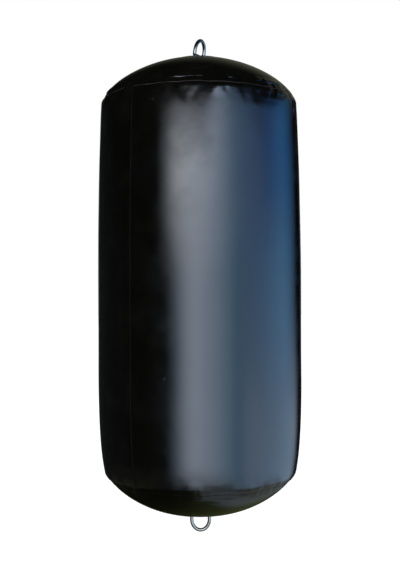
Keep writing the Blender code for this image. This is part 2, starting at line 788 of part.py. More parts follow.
def main():
    for old in list(bpy.data.objects):
        bpy.data.objects.remove(old, do_unlink=True)

    fabric = make_material("coated_fabric_black", (0.012, 0.012, 0.013), 0.2)
    backing = make_material("uncoated_fabric_grey", (0.05, 0.05, 0.05), 0.6)
    webbing = make_material("webbing_black", (0.02, 0.02, 0.02), 0.6)
    stainless = make_material("polished_stainless", (0.66, 0.66, 0.65), 0.15, 1.0)
    black_plastic = make_material("acetal_black", (0.02, 0.02, 0.022), 0.4)
    pale_plastic = make_material("acetal_natural", (0.75, 0.74, 0.7), 0.4)
    rubber = make_material("rubber_black", (0.015, 0.015, 0.015), 0.7)
    vinyl = make_material("moulded_vinyl_black", (0.018, 0.018, 0.019), 0.35)
    spring_steel = make_material("spring_steel", (0.5, 0.5, 0.5), 0.3, 1.0)

    turn, lean = radians(TOP_RING_TURN), radians(TOP_RING_LEAN)
    hang = Vector((0, 0, TOP.crown + BAR_LIFT)) + BOW_FACET * ring_direction(turn, lean)
    fender = add_empty("fender", location=-hang)
    top_frame = add_empty("top_frame", fender)
    bottom_frame = add_empty("bottom_frame", fender, rotation=(pi, 0, 0))

    # columns line up with the wall's: turned over, an angle a becomes half a turn minus a
    wall_start = lap_angles()[1]
    make_side_wall(fender, fabric)
    top_panel = make_end_pieces("top", TOP, top_frame, wall_start, fabric, backing)
    make_end_pieces("bottom", BOTTOM, bottom_frame, pi - wall_start, fabric, backing)
    make_ring_fixing("top", TOP, top_frame, turn, lean, webbing, stainless)
    bottom_turn, bottom_lean = radians(BOTTOM_RING_TURN), radians(BOTTOM_RING_LEAN)
    make_ring_fixing("bottom", BOTTOM, bottom_frame, bottom_turn, bottom_lean, webbing, stainless)
    make_valve(top_panel, top_frame, (black_plastic, pale_plastic, rubber, vinyl, spring_steel))


if __name__ == "__main__":
    main()
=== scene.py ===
"""Inflatable boat fender: its fine shapes and finishes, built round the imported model.

Metres, +Z up. The fender hangs from the origin by its upper ring. Its front, with the lengthwise
seam at the left, looks along -Y.
"""

import json
from dataclasses import dataclass
from functools import partial
from math import acos, atan2, cos, hypot, pi, radians, sin, tan
from types import SimpleNamespace

import bmesh
import bpy
import numpy as np
from bpy.props import FloatProperty, FloatVectorProperty, IntProperty, PointerProperty
from mathutils import Matrix, Vector


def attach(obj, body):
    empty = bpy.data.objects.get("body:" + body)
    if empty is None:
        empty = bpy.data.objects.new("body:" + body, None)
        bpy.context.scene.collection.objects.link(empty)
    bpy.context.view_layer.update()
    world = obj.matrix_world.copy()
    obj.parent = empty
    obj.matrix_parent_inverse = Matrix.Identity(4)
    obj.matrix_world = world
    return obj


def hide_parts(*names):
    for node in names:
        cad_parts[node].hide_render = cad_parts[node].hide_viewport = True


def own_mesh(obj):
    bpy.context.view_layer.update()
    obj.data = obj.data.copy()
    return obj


bl_info = {
    "name": "Inflatable Boat Fender",
    "version": (1, 0, 0),
    "blender": (4, 5, 0),
    "location": "View3D > Sidebar > Fender",
    "description": "Builds the finished boat fender round its packed model",
    "category": "Object",
}

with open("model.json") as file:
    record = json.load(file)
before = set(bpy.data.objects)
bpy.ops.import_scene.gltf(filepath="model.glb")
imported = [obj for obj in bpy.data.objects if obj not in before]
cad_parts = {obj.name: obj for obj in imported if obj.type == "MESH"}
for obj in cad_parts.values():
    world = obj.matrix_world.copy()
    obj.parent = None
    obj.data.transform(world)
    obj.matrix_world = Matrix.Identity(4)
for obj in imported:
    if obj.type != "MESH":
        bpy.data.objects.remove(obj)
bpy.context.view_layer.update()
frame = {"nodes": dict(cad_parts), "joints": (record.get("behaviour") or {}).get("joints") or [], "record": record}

MM = 0.001
BAND_SCALE = pi / 10  # a wave texture of scale 1 has bands this many metres apart
SMOOTH = "SMOOTHSTEP"  # a map range that eases in and out

# Fabric, clearances and the chamber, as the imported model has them
FABRIC = 1.1 * MM
GAP = 0.3 * MM
LAYER = FABRIC + GAP
CHAMBER_RADIUS = 228.6 * MM
PANEL_RADIUS = CHAMBER_RADIUS - LAYER
SKIRT = 25.0 * MM
LAP_EDGE_ANGLE = -38.8
LAP_WIDTH = 20.7 * MM
LAP_RISE = 8.8 * MM
LAP_MOUTH = 3.2 * MM

# Ring fixing
PATCH_RADIUS = 62.0 * MM
PATCH_THICKNESS = 1.2 * MM
STRAP_WIDTH = 25.0 * MM
STRAP_THICKNESS = 1.5 * MM
STRAP_TAIL = 36.0 * MM
STRAP_FLANK = radians(50.0)
WIRE = 8.0 * MM
RING_BEND = 7.0 * MM
RING_LEG = 6.0 * MM
RING_BOW = 24.0 * MM
RING_HALF_WIDTH = STRAP_WIDTH / 2 + 0.5 * MM + RING_BEND
PATCH_TOP = GAP + PATCH_THICKNESS
BAR_LIFT = PATCH_TOP + GAP + WIRE / 2

# Valve. Heights run outwards along its axis from the fabric
BOOT_RADIUS = 42.0 * MM
BOOT_HUB = 28.0 * MM
BOOT_BASE = -5.0 * MM
BOOT_TOP = 3.5 * MM
BOOT_EDGE = 1.2 * MM
BOOT_SLOPE = 1.8 * MM
BARREL_HOLE = 17.3 * MM
BORE_RADIUS = 12.5 * MM
BARREL_RADIUS = 17.0 * MM
BARREL_END = -16.0 * MM
SEAT_TOP = -13.5 * MM
SEAT_RADIUS = 10.0 * MM
FLANGE_RADIUS = 26.0 * MM
FLANGE_BASE = 3.8 * MM
FLANGE_TOP = 7.3 * MM
NECK_RADIUS = 16.5 * MM
NECK_TOP = 19.0 * MM
CAP_BORE = 16.9 * MM
CAP_RADIUS = 21.5 * MM
CAP_BASE = 9.7 * MM
CAP_CEILING = 21.1 * MM
CAP_TOP = 24.0 * MM
PIN_RADIUS = 3.0 * MM
PIN_HEAD_RADIUS = 4.3 * MM
PIN_HEAD_BASE = 26.4 * MM
PIN_HEAD_TOP = 28.2 * MM
LEASH_THICKNESS = 1.8 * MM
LEASH_WIDTH = 6.0 * MM
LEASH_RIM = 2.8 * MM
LEASH_STAND_OFF = 3.1 * MM
LEASH_LOOP_BASE = 7.6 * MM
EYE_BASE = 24.3 * MM
SLIDE_GAP = 0.3 * MM
SPRING_BASE = -10.4 * MM
SPRING_LENGTH = 18.0 * MM
SPRING_RADIUS = 4.2 * MM
SPRING_WIRE = 0.9 * MM
SPRING_TURNS = 5.0


@dataclass(frozen=True)
class End:
    """One end of the chamber. Heights run from the widest level towards this end's crown."""

    barrel: float  # height of the shoulder, where the dome starts
    drop: float  # how much narrower the shoulder is than the widest level
    barrel_power: float
    dome: float  # height of the dome above the shoulder
    dome_power: float
    crown_power: float
    seam: float  # how far the wall reaches past the shoulder
    sign: int  # 1 at the top, -1 at the bottom

    @property
    def seam_height(self):
        return self.barrel + self.seam

    @property
    def crown(self):
        return self.barrel + self.dome


TOP = End(402.6 * MM, 9.2 * MM, 2.06, 107.0 * MM, 1.6, 1.8, 9.4 * MM, 1)
BOTTOM = End(417.0 * MM, 13.7 * MM, 6.25, 94.8 * MM, 1.18, 2.45, 11.0 * MM, -1)

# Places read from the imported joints
JOINTS = {joint["name"]: joint for joint in frame["joints"]}
TOP_BAR = Vector(JOINTS["top_ring_swing"]["pos_m"])
TOP_BAR_AXIS = Vector(JOINTS["top_ring_swing"]["axis"]).normalized()
BOTTOM_BAR = Vector(JOINTS["bottom_ring_swing"]["pos_m"])
VALVE_PLACE = Vector(JOINTS["cap_turn"]["pos_m"])
VALVE_AXIS = Vector(JOINTS["cap_turn"]["axis"]).normalized()
FENDER = Vector((BOTTOM_BAR.x, BOTTOM_BAR.y, TOP_BAR.z - BAR_LIFT - TOP.crown))
VALVE_OFFSET = VALVE_PLACE.y - FENDER.y


def hex_colour(code):
    """An sRGB hex code as linear RGBA."""
    channels = [int(code[i : i + 2], 16) / 255 for i in (1, 3, 5)]
    linear = [c / 12.92 if c <= 0.04045 else ((c + 0.055) / 1.055) ** 2.4 for c in channels]
    return (*linear, 1.0)


# Settings that a user would change


def length_setting(name, description, default):
    return FloatProperty(
        name=name, description=description, default=default, subtype="DISTANCE", unit="LENGTH"
    )


def colour_setting(name, description, code):
    return FloatVectorProperty(
        name=name, description=description, default=hex_colour(code), subtype="COLOR", size=4
    )


class ChamberSettings(bpy.types.PropertyGroup):
    colour: colour_setting("Fabric colour", "Colour of the PVC coating", "#060605")
    roughness: FloatProperty(
        name="Fabric roughness",
        description="Blur of the coating's reflections",
        default=0.17,
        min=0.0,
        max=1.0,
        subtype="FACTOR",
    )
    pucker_depth: length_setting("Pucker depth", "Depth of the creases at the ring seams", 1.5 * MM)
    pucker_spacing: length_setting("Pucker spacing", "Usual distance between two creases", 62 * MM)
    pucker_reach: length_setting("Pucker reach", "How far a crease runs from its seam", 36 * MM)
    pull: length_setting("Pull", "How far a ring seam draws the fabric in", 1.1 * MM)
    roll: length_setting("Roll", "Height of the fabric's roll beside a ring seam", 1.8 * MM)
    crinkle: length_setting("Crinkle", "Height of the fine crinkles beside a ring seam", 0.6 * MM)
    seam_wander: length_setting("Seam wander", "How far a ring seam strays from level", 2.2 * MM)
    waviness: length_setting("Waviness", "Height of the slow waves in the inflated fabric", 0.5 * MM)
    wave_length: length_setting("Wave length", "Usual length of those waves", 130 * MM)
    seed: FloatProperty(name="Seed", description="Picks another pattern of puckers", default=4.0)
    columns: IntProperty(
        name="Columns", description="Mesh columns round the chamber", default=576, min=96
    )


class FixingSettings(bpy.types.PropertyGroup):
    webbing_colour: colour_setting("Webbing colour", "Colour of the straps over the bars", "#15151A")
    stitch_pitch: length_setting("Stitch pitch", "Distance from one stitch to the next", 3.1 * MM)
    thread: length_setting("Thread", "Thickness of the sewing thread", 0.8 * MM)
    steel_colour: colour_setting("Steel colour", "Colour of the polished rings", "#B3ABA0")


class ValveSettings(bpy.types.PropertyGroup):
    flutes: IntProperty(
        name="Cap ribs", description="Number of grip ribs on the cap", default=12, min=3
    )
    flute_depth: length_setting("Rib height", "Height of a grip rib", 0.8 * MM)
    thread_lead: length_setting("Thread lead", "How far the cap rises in one turn", 4.0 * MM)
    plastic_colour: colour_setting("Plastic colour", "Colour of the black plastic", "#17171A")


class StageSettings(bpy.types.PropertyGroup):
    camera_distance: length_setting("Camera distance", "From the camera to the fender's axis", 1.966)
    lens: FloatProperty(name="Lens", description="Focal length", default=54.8, unit="CAMERA")
    camera_roll: FloatProperty(
        name="Camera roll",
        description="Turn of the camera about its own line of sight",
        default=radians(0.25),
        subtype="ANGLE",
        unit="ROTATION",
    )
    floor_drop: length_setting("Floor drop", "From the origin down to the floor", 1.5)
    bank_level: FloatProperty(
        name="Light bank",
        description="Brightness of the light bank that the gloss mirrors",
        default=3.6,
        min=0.0,
    )


# Small tools


def fill_sockets(tree, node, *values, **named):
    """Fill a node's sockets, in order or by name, with values or with links."""
    used = [socket for socket in node.inputs if socket.enabled]
    pairs = list(zip(used, values))
    for name, value in named.items():
        wanted = name.replace("_", " ")
        pairs.append((next(socket for socket in used if socket.name == wanted), value))
    for socket, value in pairs:
        if isinstance(value, bpy.types.Node):
            value = next(output for output in value.outputs if output.enabled)
        if isinstance(value, bpy.types.NodeSocket):
            tree.links.new(value, socket)
        else:
            socket.default_value = value
    return node


def add_node(tree, kind, *values, **settings):
    """Add a node. Settings with a capital are its sockets, and the others its properties."""
    node = tree.nodes.new(kind)
    node.location.x = 200 * len(tree.nodes)
    sockets = {}
    for name, value in settings.items():
        if name[0].isupper():
            sockets[name] = value
        else:
            setattr(node, name, value)
    return fill_sockets(tree, node, *values, **sockets)


def start_material(name, **constants):
    """A named material, its shader with these constants, and a maker of nodes for it."""
    material = bpy.data.materials.new(name)
    material.use_nodes = True
    tree = material.node_tree
    shader = tree.nodes["Principled BSDF"]
    fill_sockets(tree, shader, **constants)
    material.diffuse_color = shader.inputs["Base Color"].default_value
    return material, partial(add_node, tree), partial(fill_sockets, tree, shader)


def patches(node, place, size, low, high, start=0.3, stop=0.7):
    """A value that wanders from low to high over the surface, in patches of about this size."""
    cloud = node("ShaderNodeTexNoise", place, 1 / size, 4.0, 0.6)
    return node("ShaderNodeMapRange", cloud, start, stop, low, high, interpolation_type=SMOOTH)


def grain(node, place, size, height, under=None):
    """Fine unevenness of about this size and height, on top of another relief."""
    lumps = node("ShaderNodeTexNoise", place, 1 / size, 2.0)
    relief = node("ShaderNodeBump", Height=lumps, Distance=height)
    if under:
        fill_sockets(relief.id_data, relief, Normal=under)
    return relief


# Materials


def coated_fabric(name):
    """PVC-coated polyester with a clear lacquer: a deep black gloss that mirrors softly, with the
    woven scrim just showing through, handling smudges, a few scuffs and a little dust."""
    settings = bpy.context.scene.fender_chamber
    shine = settings.roughness
    material, node, finish = start_material(
        name, Base_Color=settings.colour, Roughness=shine, IOR=1.53, Specular_IOR_Level=1.0
    )
    cloth = node("ShaderNodeUVMap", uv_map="cloth")
    place = node("ShaderNodeTexCoord").outputs["Object"]

    # the scrim has 9 threads to the inch, 2.8 mm apart, and is drawn at 4.2 mm so that it shows
    scale = BAND_SCALE / (4.2 * MM)
    warp = node("ShaderNodeTexWave", cloth, scale, 0.6, 1.0, bands_direction="X").outputs["Fac"]
    weft = node("ShaderNodeTexWave", cloth, scale, 0.6, 1.0, bands_direction="Y").outputs["Fac"]
    scrim = node("ShaderNodeMath", warp, weft, operation="MULTIPLY")
    relief = node("ShaderNodeBump", Height=scrim, Distance=0.016 * MM)
    relief = grain(node, place, 16 * MM, 0.07 * MM, relief)

    # scuffs are ragged marks a few millimetres across, a forearm's length apart
    ragged = node("ShaderNodeTexNoise", place, 1 / (3 * MM), 3.0, 0.7).outputs["Color"]
    ragged = node("ShaderNodeVectorMath", ragged, (0.5, 0.5, 0.5), operation="SUBTRACT")
    ragged = node("ShaderNodeVectorMath", ragged, Scale=9 * MM, operation="SCALE")
    ragged = node("ShaderNodeVectorMath", place, ragged, operation="ADD")
    marks = node("ShaderNodeTexVoronoi", ragged, 1 / (140 * MM))
    scuff = node("ShaderNodeMapRange", marks, 0.015, 0.04, 1.0, 0.0)
    relief = node("ShaderNodeBump", Height=scuff, Distance=-0.05 * MM, Normal=relief)

    smudge = patches(node, place, 75 * MM, shine - 0.03, shine + 0.06, 0.4, 0.7)
    dulled = node("ShaderNodeMath", scuff, 0.25, smudge, operation="MULTIPLY_ADD")
    cloud = patches(node, place, 50 * MM, 0.0, 1.0, 0.45, 0.75)
    dust = node("ShaderNodeMath", cloud, patches(node, place, 2 * MM, 0.0, 0.016), operation="MULTIPLY")
    tone = node("ShaderNodeMix", dust, settings.colour, hex_colour("#8A867C"), data_type="RGBA")
    finish(Base_Color=tone, Roughness=dulled, Normal=relief)
    return material


def plain_backing(name):
    """Plain-woven polyester with no coating: a dull dark grey with its weave open to the eye."""
    material, node, finish = start_material(
        name, Base_Color=hex_colour("#3A3A3A"), Roughness=0.85, Sheen_Weight=0.2
    )
    place = node("ShaderNodeTexCoord").outputs["Object"]
    # the threads are 1.1 mm apart and drawn at 2 mm
    weave = node("ShaderNodeTexChecker", place, Scale=1 / (2 * MM)).outputs["Fac"]
    relief = node("ShaderNodeBump", Height=weave, Distance=0.15 * MM)
    worn = patches(node, place, 20 * MM, 0.0, 0.7)
    dark, pale = hex_colour("#303030"), hex_colour("#484848")
    tone = node("ShaderNodeMix", worn, dark, pale, data_type="RGBA")
    finish(Base_Color=tone, Normal=grain(node, place, 3 * MM, 0.1 * MM, relief))
    return material


def weld_bead(name, code, shine):
    """Coating squeezed out of a weld: a rounded, lumpy line, in the tone and shine given for its seam."""
    colour = hex_colour(code)
    material, node, finish = start_material(
        name, Base_Color=colour, Roughness=0.42, IOR=1.53, Specular_IOR_Level=shine
    )
    place = node("ShaderNodeTexCoord").outputs["Object"]
    # in patches the tone goes to near black, which breaks up the upper ring seam's painted highlight
    thin = patches(node, place, 24 * MM, 0.0, 0.9, 0.35, 0.65)
    tone = node("ShaderNodeMix", thin, colour, hex_colour("#0C0B0B"), data_type="RGBA")
    finish(Base_Color=tone, Normal=grain(node, place, 5 * MM, 0.3 * MM))
    return material


def woven_webbing(name):
    """Polyester webbing in a herringbone twill: matt black with fine slanted ribs."""
    colour = bpy.context.scene.fender_fixing.webbing_colour
    material, node, finish = start_material(
        name,
        Base_Color=colour,
        Roughness=0.72,
        Specular_IOR_Level=0.3,
        Sheen_Weight=0.1,
        Sheen_Roughness=0.5,
    )
    cloth = node("ShaderNodeUVMap", uv_map="cloth")
    across, along, _ = node("ShaderNodeSeparateXYZ", cloth).outputs

    # real ribs lie 1.1 mm apart and are drawn at 1.6 mm. They turn back every 4 mm of width
    per_rib = 2 * pi / (1.6 * MM)
    zigzag = node("ShaderNodeMath", across, 4 * MM, operation="PINGPONG")
    phase = node("ShaderNodeMath", zigzag, along, operation="ADD")
    phase = node("ShaderNodeMath", phase, per_rib, operation="MULTIPLY")
    ribs = node("ShaderNodeMath", phase, operation="SINE")
    ribs = node("ShaderNodeMath", ribs, 0.5, 0.5, operation="MULTIPLY_ADD")
    relief = node("ShaderNodeBump", Height=ribs, Distance=0.22 * MM)
    place = node("ShaderNodeTexCoord").outputs["Object"]
    # the rib tops are paler and the grooves between them darker: painted shade in the grooves
    tone = node("ShaderNodeMix", ribs, colour, hex_colour("#242427"), data_type="RGBA")
    finish(Base_Color=tone, Normal=grain(node, place, 0.7 * MM, 0.08 * MM, relief))
    return material


def bonded_thread(name):
    """Bonded polyester thread: dark grey with a faint waxy shine and its twist showing."""
    dark, pale = hex_colour("#2A2A2E"), hex_colour("#56565C")
    material, node, finish = start_material(name, Base_Color=dark, Roughness=0.45)
    place = node("ShaderNodeTexCoord").outputs["Object"]
    twist = patches(node, place, 0.5 * MM, 0.0, 1.0)
    tone = node("ShaderNodeMix", twist, dark, pale, data_type="RGBA")
    finish(Base_Color=tone, Normal=grain(node, place, 0.5 * MM, 0.1 * MM))
    return material


def polished_stainless(name):
    """Electropolished stainless bar: a bright, slightly soft mirror with fine rub marks and faint
    brown tea staining."""
    colour = bpy.context.scene.fender_fixing.steel_colour
    material, node, finish = start_material(name, Base_Color=colour, Roughness=0.2, Metallic=1.0)
    place = node("ShaderNodeTexCoord").outputs["Object"]
    drawn = node("ShaderNodeMapping", place, Scale=(1.0, 1.0, 0.25))
    rubbed = patches(node, drawn, 1.4 * MM, 0.15, 0.3, 0.35, 0.7)
    stain = patches(node, place, 9 * MM, 0.0, 0.45, 0.5, 0.75)
    tone = node("ShaderNodeMix", stain, colour, hex_colour("#857A6A"), data_type="RGBA")
    finish(Base_Color=tone, Roughness=rubbed, Normal=grain(node, drawn, 1.4 * MM, 0.02 * MM))
    return material


def flexible_vinyl(name):
    """Flexible PVC from a blasted mould: black with a soft satin skin and a fine spark grain."""
    dark, pale = hex_colour("#111113"), hex_colour("#202022")
    material, node, finish = start_material(name, Base_Color=dark, Roughness=0.36, IOR=1.53)
    place = node("ShaderNodeTexCoord").outputs["Object"]
    rubbed = patches(node, place, 12 * MM, 0.28, 0.46)
    tone = node("ShaderNodeMix", patches(node, place, 9 * MM, 0.0, 0.6), dark, pale, data_type="RGBA")
    finish(Base_Color=tone, Roughness=rubbed, Normal=grain(node, place, 1.1 * MM, 0.07 * MM))
    return material


def moulded_acetal(name, colour, rubbed):
    """Injection-moulded acetal: hard and waxy, with flow marks and worn places of a paler tone."""
    material, node, finish = start_material(name, Base_Color=colour, Roughness=0.38, IOR=1.48)
    place = node("ShaderNodeTexCoord").outputs["Object"]
    flow = patches(node, place, 7 * MM, 0.0, 0.6, 0.45, 0.75)
    tone = node("ShaderNodeMix", flow, colour, rubbed, data_type="RGBA")
    gloss = patches(node, place, 6 * MM, 0.3, 0.48)
    finish(Base_Color=tone, Roughness=gloss, Normal=grain(node, place, 0.8 * MM, 0.03 * MM))
    return material


def black_acetal(name):
    """Moulded acetal, black all through and rubbed grey by hands."""
    black = bpy.context.scene.fender_valve.plastic_colour
    return moulded_acetal(name, black, hex_colour("#2C2C30"))


def natural_acetal(name):
    """Moulded acetal without a dye: milky white, a little yellower where it flowed last."""
    return moulded_acetal(name, hex_colour("#E2DFD6"), hex_colour("#CBC6B8"))


def nitrile_rubber(name):
    """Pressed nitrile rubber: matt black with a faint talc bloom."""
    dark, bloom = hex_colour("#101010"), hex_colour("#3C3A38")
    material, node, finish = start_material(name, Base_Color=dark, Roughness=0.7)
    place = node("ShaderNodeTexCoord").outputs["Object"]
    tone = node("ShaderNodeMix", patches(node, place, 3 * MM, 0.0, 0.4), dark, bloom, data_type="RGBA")
    finish(Base_Color=tone, Normal=grain(node, place, 1 * MM, 0.03 * MM))
    return material


def drawn_wire(name):
    """Cold-drawn stainless wire: grey and bright along its length, with fine die lines."""
    colour = hex_colour("#B4B2AE")
    material, node, finish = start_material(name, Base_Color=colour, Roughness=0.3, Metallic=1.0)
    place = node("ShaderNodeTexCoord").outputs["Object"]
    lines = patches(node, place, 0.3 * MM, 0.24, 0.42)
    finish(Roughness=lines, Normal=grain(node, place, 0.3 * MM, 0.01 * MM))
    return material


FINISHES = {
    "coated_fabric": ("pvc_coated_polyester", coated_fabric),
    "uncoated_backing": ("plain_woven_polyester", plain_backing),
    "webbing": ("polyester_webbing", woven_webbing),
    "thread": ("bonded_polyester_thread", bonded_thread),
    "stainless_steel": ("electropolished_stainless", polished_stainless),
    "moulded_vinyl": ("moulded_flexible_pvc", flexible_vinyl),
    "black_plastic": ("moulded_black_acetal", black_acetal),
    "pale_plastic": ("moulded_natural_acetal", natural_acetal),
    "seal_rubber": ("pressed_nitrile_rubber", nitrile_rubber),
    "spring_steel": ("drawn_spring_steel", drawn_wire),
}


def finish_for(slot):
    """The material of a slot, made when it is first asked for."""
    name, make = FINISHES[slot]
    return bpy.data.materials.get(name) or make(name)


# Meshes


def add_piece(name, mesh, material=None):
    """A named object for a mesh that is already in place."""
    piece = bpy.data.objects.new(name, mesh)
    bpy.context.scene.collection.objects.link(piece)
    if material:
        mesh.materials.clear()
        mesh.materials.append(material)
    return piece


def settle(piece, body, slot, *nodes):
    """Shade a finished piece, hang it under its body's empty and hide the imported nodes that it stands in for."""
    piece.data.shade_smooth()
    piece.data.set_sharp_from_angle(angle=radians(38))
    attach(piece, body)
    if nodes:
        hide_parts(*nodes)


def turn_outwards(mesh):
    """Turn a closed mesh's faces outwards."""
    shape = bmesh.new()
    shape.from_mesh(mesh)
    bmesh.ops.recalc_face_normals(shape, faces=shape.faces)
    shape.to_mesh(mesh)
    shape.free()
    return mesh


def plain_mesh(piece):
    """Replace a piece's mesh by what its modifiers make of it."""
    graph = bpy.context.evaluated_depsgraph_get()
    mesh = bpy.data.meshes.new_from_object(
        piece.evaluated_get(graph), preserve_all_data_layers=True, depsgraph=graph
    )
    mesh.name = piece.name
    piece.modifiers.clear()
    piece.data = mesh
    return mesh


def run_tree(piece, tree, **values):
    """Put a geometry tree on a piece, set its named inputs, and keep the result as a plain mesh."""
    modifier = piece.modifiers.new(tree.name, "NODES")
    modifier.node_group = tree
    for item in tree.interface.items_tree:
        key = item.name.lower().replace(" ", "_")
        if item.in_out == "INPUT" and key in values:
            modifier[item.identifier] = values[key]
    plain_mesh(piece)
    return piece


def start_tree(name, **sockets):
    """A geometry tree with a mesh going in and out and these named inputs, and a maker of nodes."""
    tree = bpy.data.node_groups.new(name, "GeometryNodeTree")
    face = tree.interface
    face.new_socket("Geometry", in_out="INPUT", socket_type="NodeSocketGeometry")
    face.new_socket("Geometry", in_out="OUTPUT", socket_type="NodeSocketGeometry")
    for key, kind in {**sockets, "material": "Material"}.items():
        label = key.replace("_", " ").capitalize()
        face.new_socket(label, in_out="INPUT", socket_type=f"NodeSocket{kind}")
    node = partial(add_node, tree)
    given = {socket.name.lower().replace(" ", "_"): socket for socket in node("NodeGroupInput").outputs}
    return tree, node, given


def end_tree(node, geometry, material):
    """Real meshes with their material, going out of a geometry tree."""
    geometry = node("GeometryNodeRealizeInstances", geometry)
    geometry = node("GeometryNodeSetMaterial", Geometry=geometry, Material=material)
    node("NodeGroupOutput", geometry)


def round_corners(corners, steps=5):
    """A closed outline of (radius, height, fillet) corners, with an arc for each fillet."""
    points = []
    for i, (x, y, fillet) in enumerate(corners):
        here = Vector((x, y))
        if not fillet:
            points.append((x, y))
            continue
        before = (Vector(corners[i - 1][:2]) - here).normalized()
        after = (Vector(corners[(i + 1) % len(corners)][:2]) - here).normalized()
        half = before.angle(after) / 2
        centre = here + (before + after).normalized() * fillet / sin(half)
        start = here + before * fillet / tan(half) - centre
        stop = here + after * fillet / tan(half) - centre
        first = atan2(start.y, start.x)
        swing = (atan2(stop.y, stop.x) - first + pi) % (2 * pi) - pi
        for k in range(steps + 1):
            angle = first + swing * k / steps
            points.append((centre.x + fillet * cos(angle), centre.y + fillet * sin(angle)))
    return points


def skin_rings(name, rings, place=None):
    """A closed mesh over rings of points, from each to the next and from the last to the first.
    A ring of one point is a pole."""
    shape = bmesh.new()
    rings = [[shape.verts.new(point) for point in ring] for ring in rings]
    for lower, upper in zip(rings, rings[1:] + rings[:1]):
        most = max(len(lower), len(upper))
        if most == 1:
            continue
        for i in range(most):
            j = (i + 1) % most
            corners = [lower[i % len(lower)], lower[j % len(lower)]]
            corners += [upper[j % len(upper)], upper[i % len(upper)]]
            shape.faces.new(dict.fromkeys(corners))
    bmesh.ops.recalc_face_normals(shape, faces=shape.faces)
    mesh = bpy.data.meshes.new(name)
    shape.to_mesh(mesh)
    shape.free()
    if place:
        mesh.transform(place)
    return mesh


def lathe(name, outline, sides=128, place=None):
    """Turn a closed outline of (radius, height) points about Z."""
    rings = []
    for radius, height in outline:
        angles = [2 * pi * k / sides for k in range(sides if radius else 1)]
        rings.append([(radius * cos(a), radius * sin(a), height) for a in angles])
    return skin_rings(name, rings, place)


def write_uv(mesh, name, by_vertex):
    """A UV map in metres, from one pair for each vertex."""
    layer = mesh.uv_layers.new(name=name)
    corners = np.empty(len(mesh.loops), np.int32)
    mesh.loops.foreach_get("vertex_index", corners)
    layer.data.foreach_set("uv", np.asarray(by_vertex, np.float32)[corners].ravel())


# The chamber's shape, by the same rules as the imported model


def meridian_point(end, height):
    """Radius and height of the end panels' outside, at a height from the widest level."""
    if height <= end.barrel:
        return PANEL_RADIUS - end.drop * (abs(height) / end.barrel) ** end.barrel_power, height
    rise = (height - end.barrel) / end.dome
    rim = PANEL_RADIUS - end.drop
    return rim * max(1 - rise**end.dome_power, 0) ** (1 / end.crown_power), height


def height_at_radius(end, radius):
    """How high the dome stands at this radius, from the widest level."""
    rim = PANEL_RADIUS - end.drop
    return end.barrel + end.dome * (1 - (radius / rim) ** end.crown_power) ** (1 / end.dome_power)


def outward(end, radius, height):
    """The surface's normal at a meridian point, as its parts away from the axis and along it."""
    step = 0.01 * MM
    if radius < step:
        return 0.0, 1.0
    if height > end.barrel + end.dome / 2:
        run = 2 * step
        rise = height_at_radius(end, radius + step) - height_at_radius(end, radius - step)
    else:
        below, above = meridian_point(end, height - step), meridian_point(end, height + step)
        run, rise = below[0] - above[0], below[1] - above[1]
    length = hypot(run, rise)
    return -rise / length, run / length


def lap_angles():
    """Angles of the free edge, the inner layer's edge and the climb's end and start."""
    free = radians(LAP_EDGE_ANGLE)
    inner = free - LAP_WIDTH / CHAMBER_RADIUS
    climb_end = inner - LAP_MOUTH / CHAMBER_RADIUS
    climb_start = climb_end - LAP_RISE / CHAMBER_RADIUS
    return free, inner, climb_end, climb_start


def skirt_distances():
    """Rows of the wall and of the skirt under it, as distances from the seam."""
    steps = 12
    return [0.0, 0.4 * MM, 1.0 * MM] + [SKIRT * k / steps for k in range(1, steps + 1)]


def sheet_arrays(end_rows, angles, lifts):
    """Points, normals and seam distances of rows of (end, radius, height, lift, seam) swept round."""
    sines, cosines = np.sin(angles), -np.cos(angles)
    points, normals, seams = [], [], []
    for end, radius, height, lift, seam in end_rows:
        out, up = outward(end, radius, height)
        reach = radius + out * (lift + lifts)
        level = end.sign * (height + up * (lift + lifts))
        points.append(np.stack([reach * sines, reach * cosines, level + 0 * sines], -1))
        normals.append(np.stack([out * sines, out * cosines, end.sign * up + 0 * sines], -1))
        seams.append(np.full(len(angles), seam))
    return np.array(points), np.array(normals), np.array(seams)


def grid_faces(first, rows, columns, cyclic):
    """Quads over rows of points, which are numbered from the first."""
    row = np.arange(rows - 1)[:, None]
    column = np.arange(columns if cyclic else columns - 1)[None, :]
    after = (column + 1) % columns
    corners = [row * columns + column, row * columns + after]
    corners += [(row + 1) * columns + after, (row + 1) * columns + column]
    return (first + np.stack(corners, -1)).reshape(-1, 4).tolist()


def strip_faces(one, other):
    """Quads between two runs of point numbers."""
    return [[one[i], one[i + 1], other[i + 1], other[i]] for i in range(len(one) - 1)]


def sheet_mesh(name, arrays, faces, cloth):
    """A mesh in place, with the attributes that the pucker tree reads."""
    points, normals, seams = (
        np.concatenate([part[i].reshape(-1, *part[i].shape[2:]) for part in arrays]) for i in range(3)
    )
    mesh = bpy.data.meshes.new(name)
    mesh.from_pydata((points + np.array(FENDER)).tolist(), [], faces)
    mesh.attributes.new("seam_distance", "FLOAT", "POINT").data.foreach_set("value", seams)
    mesh.attributes.new("outward", "FLOAT_VECTOR", "POINT").data.foreach_set("vector", normals.ravel())
    write_uv(mesh, "cloth", cloth)
    return turn_outwards(mesh)


# Geometry trees


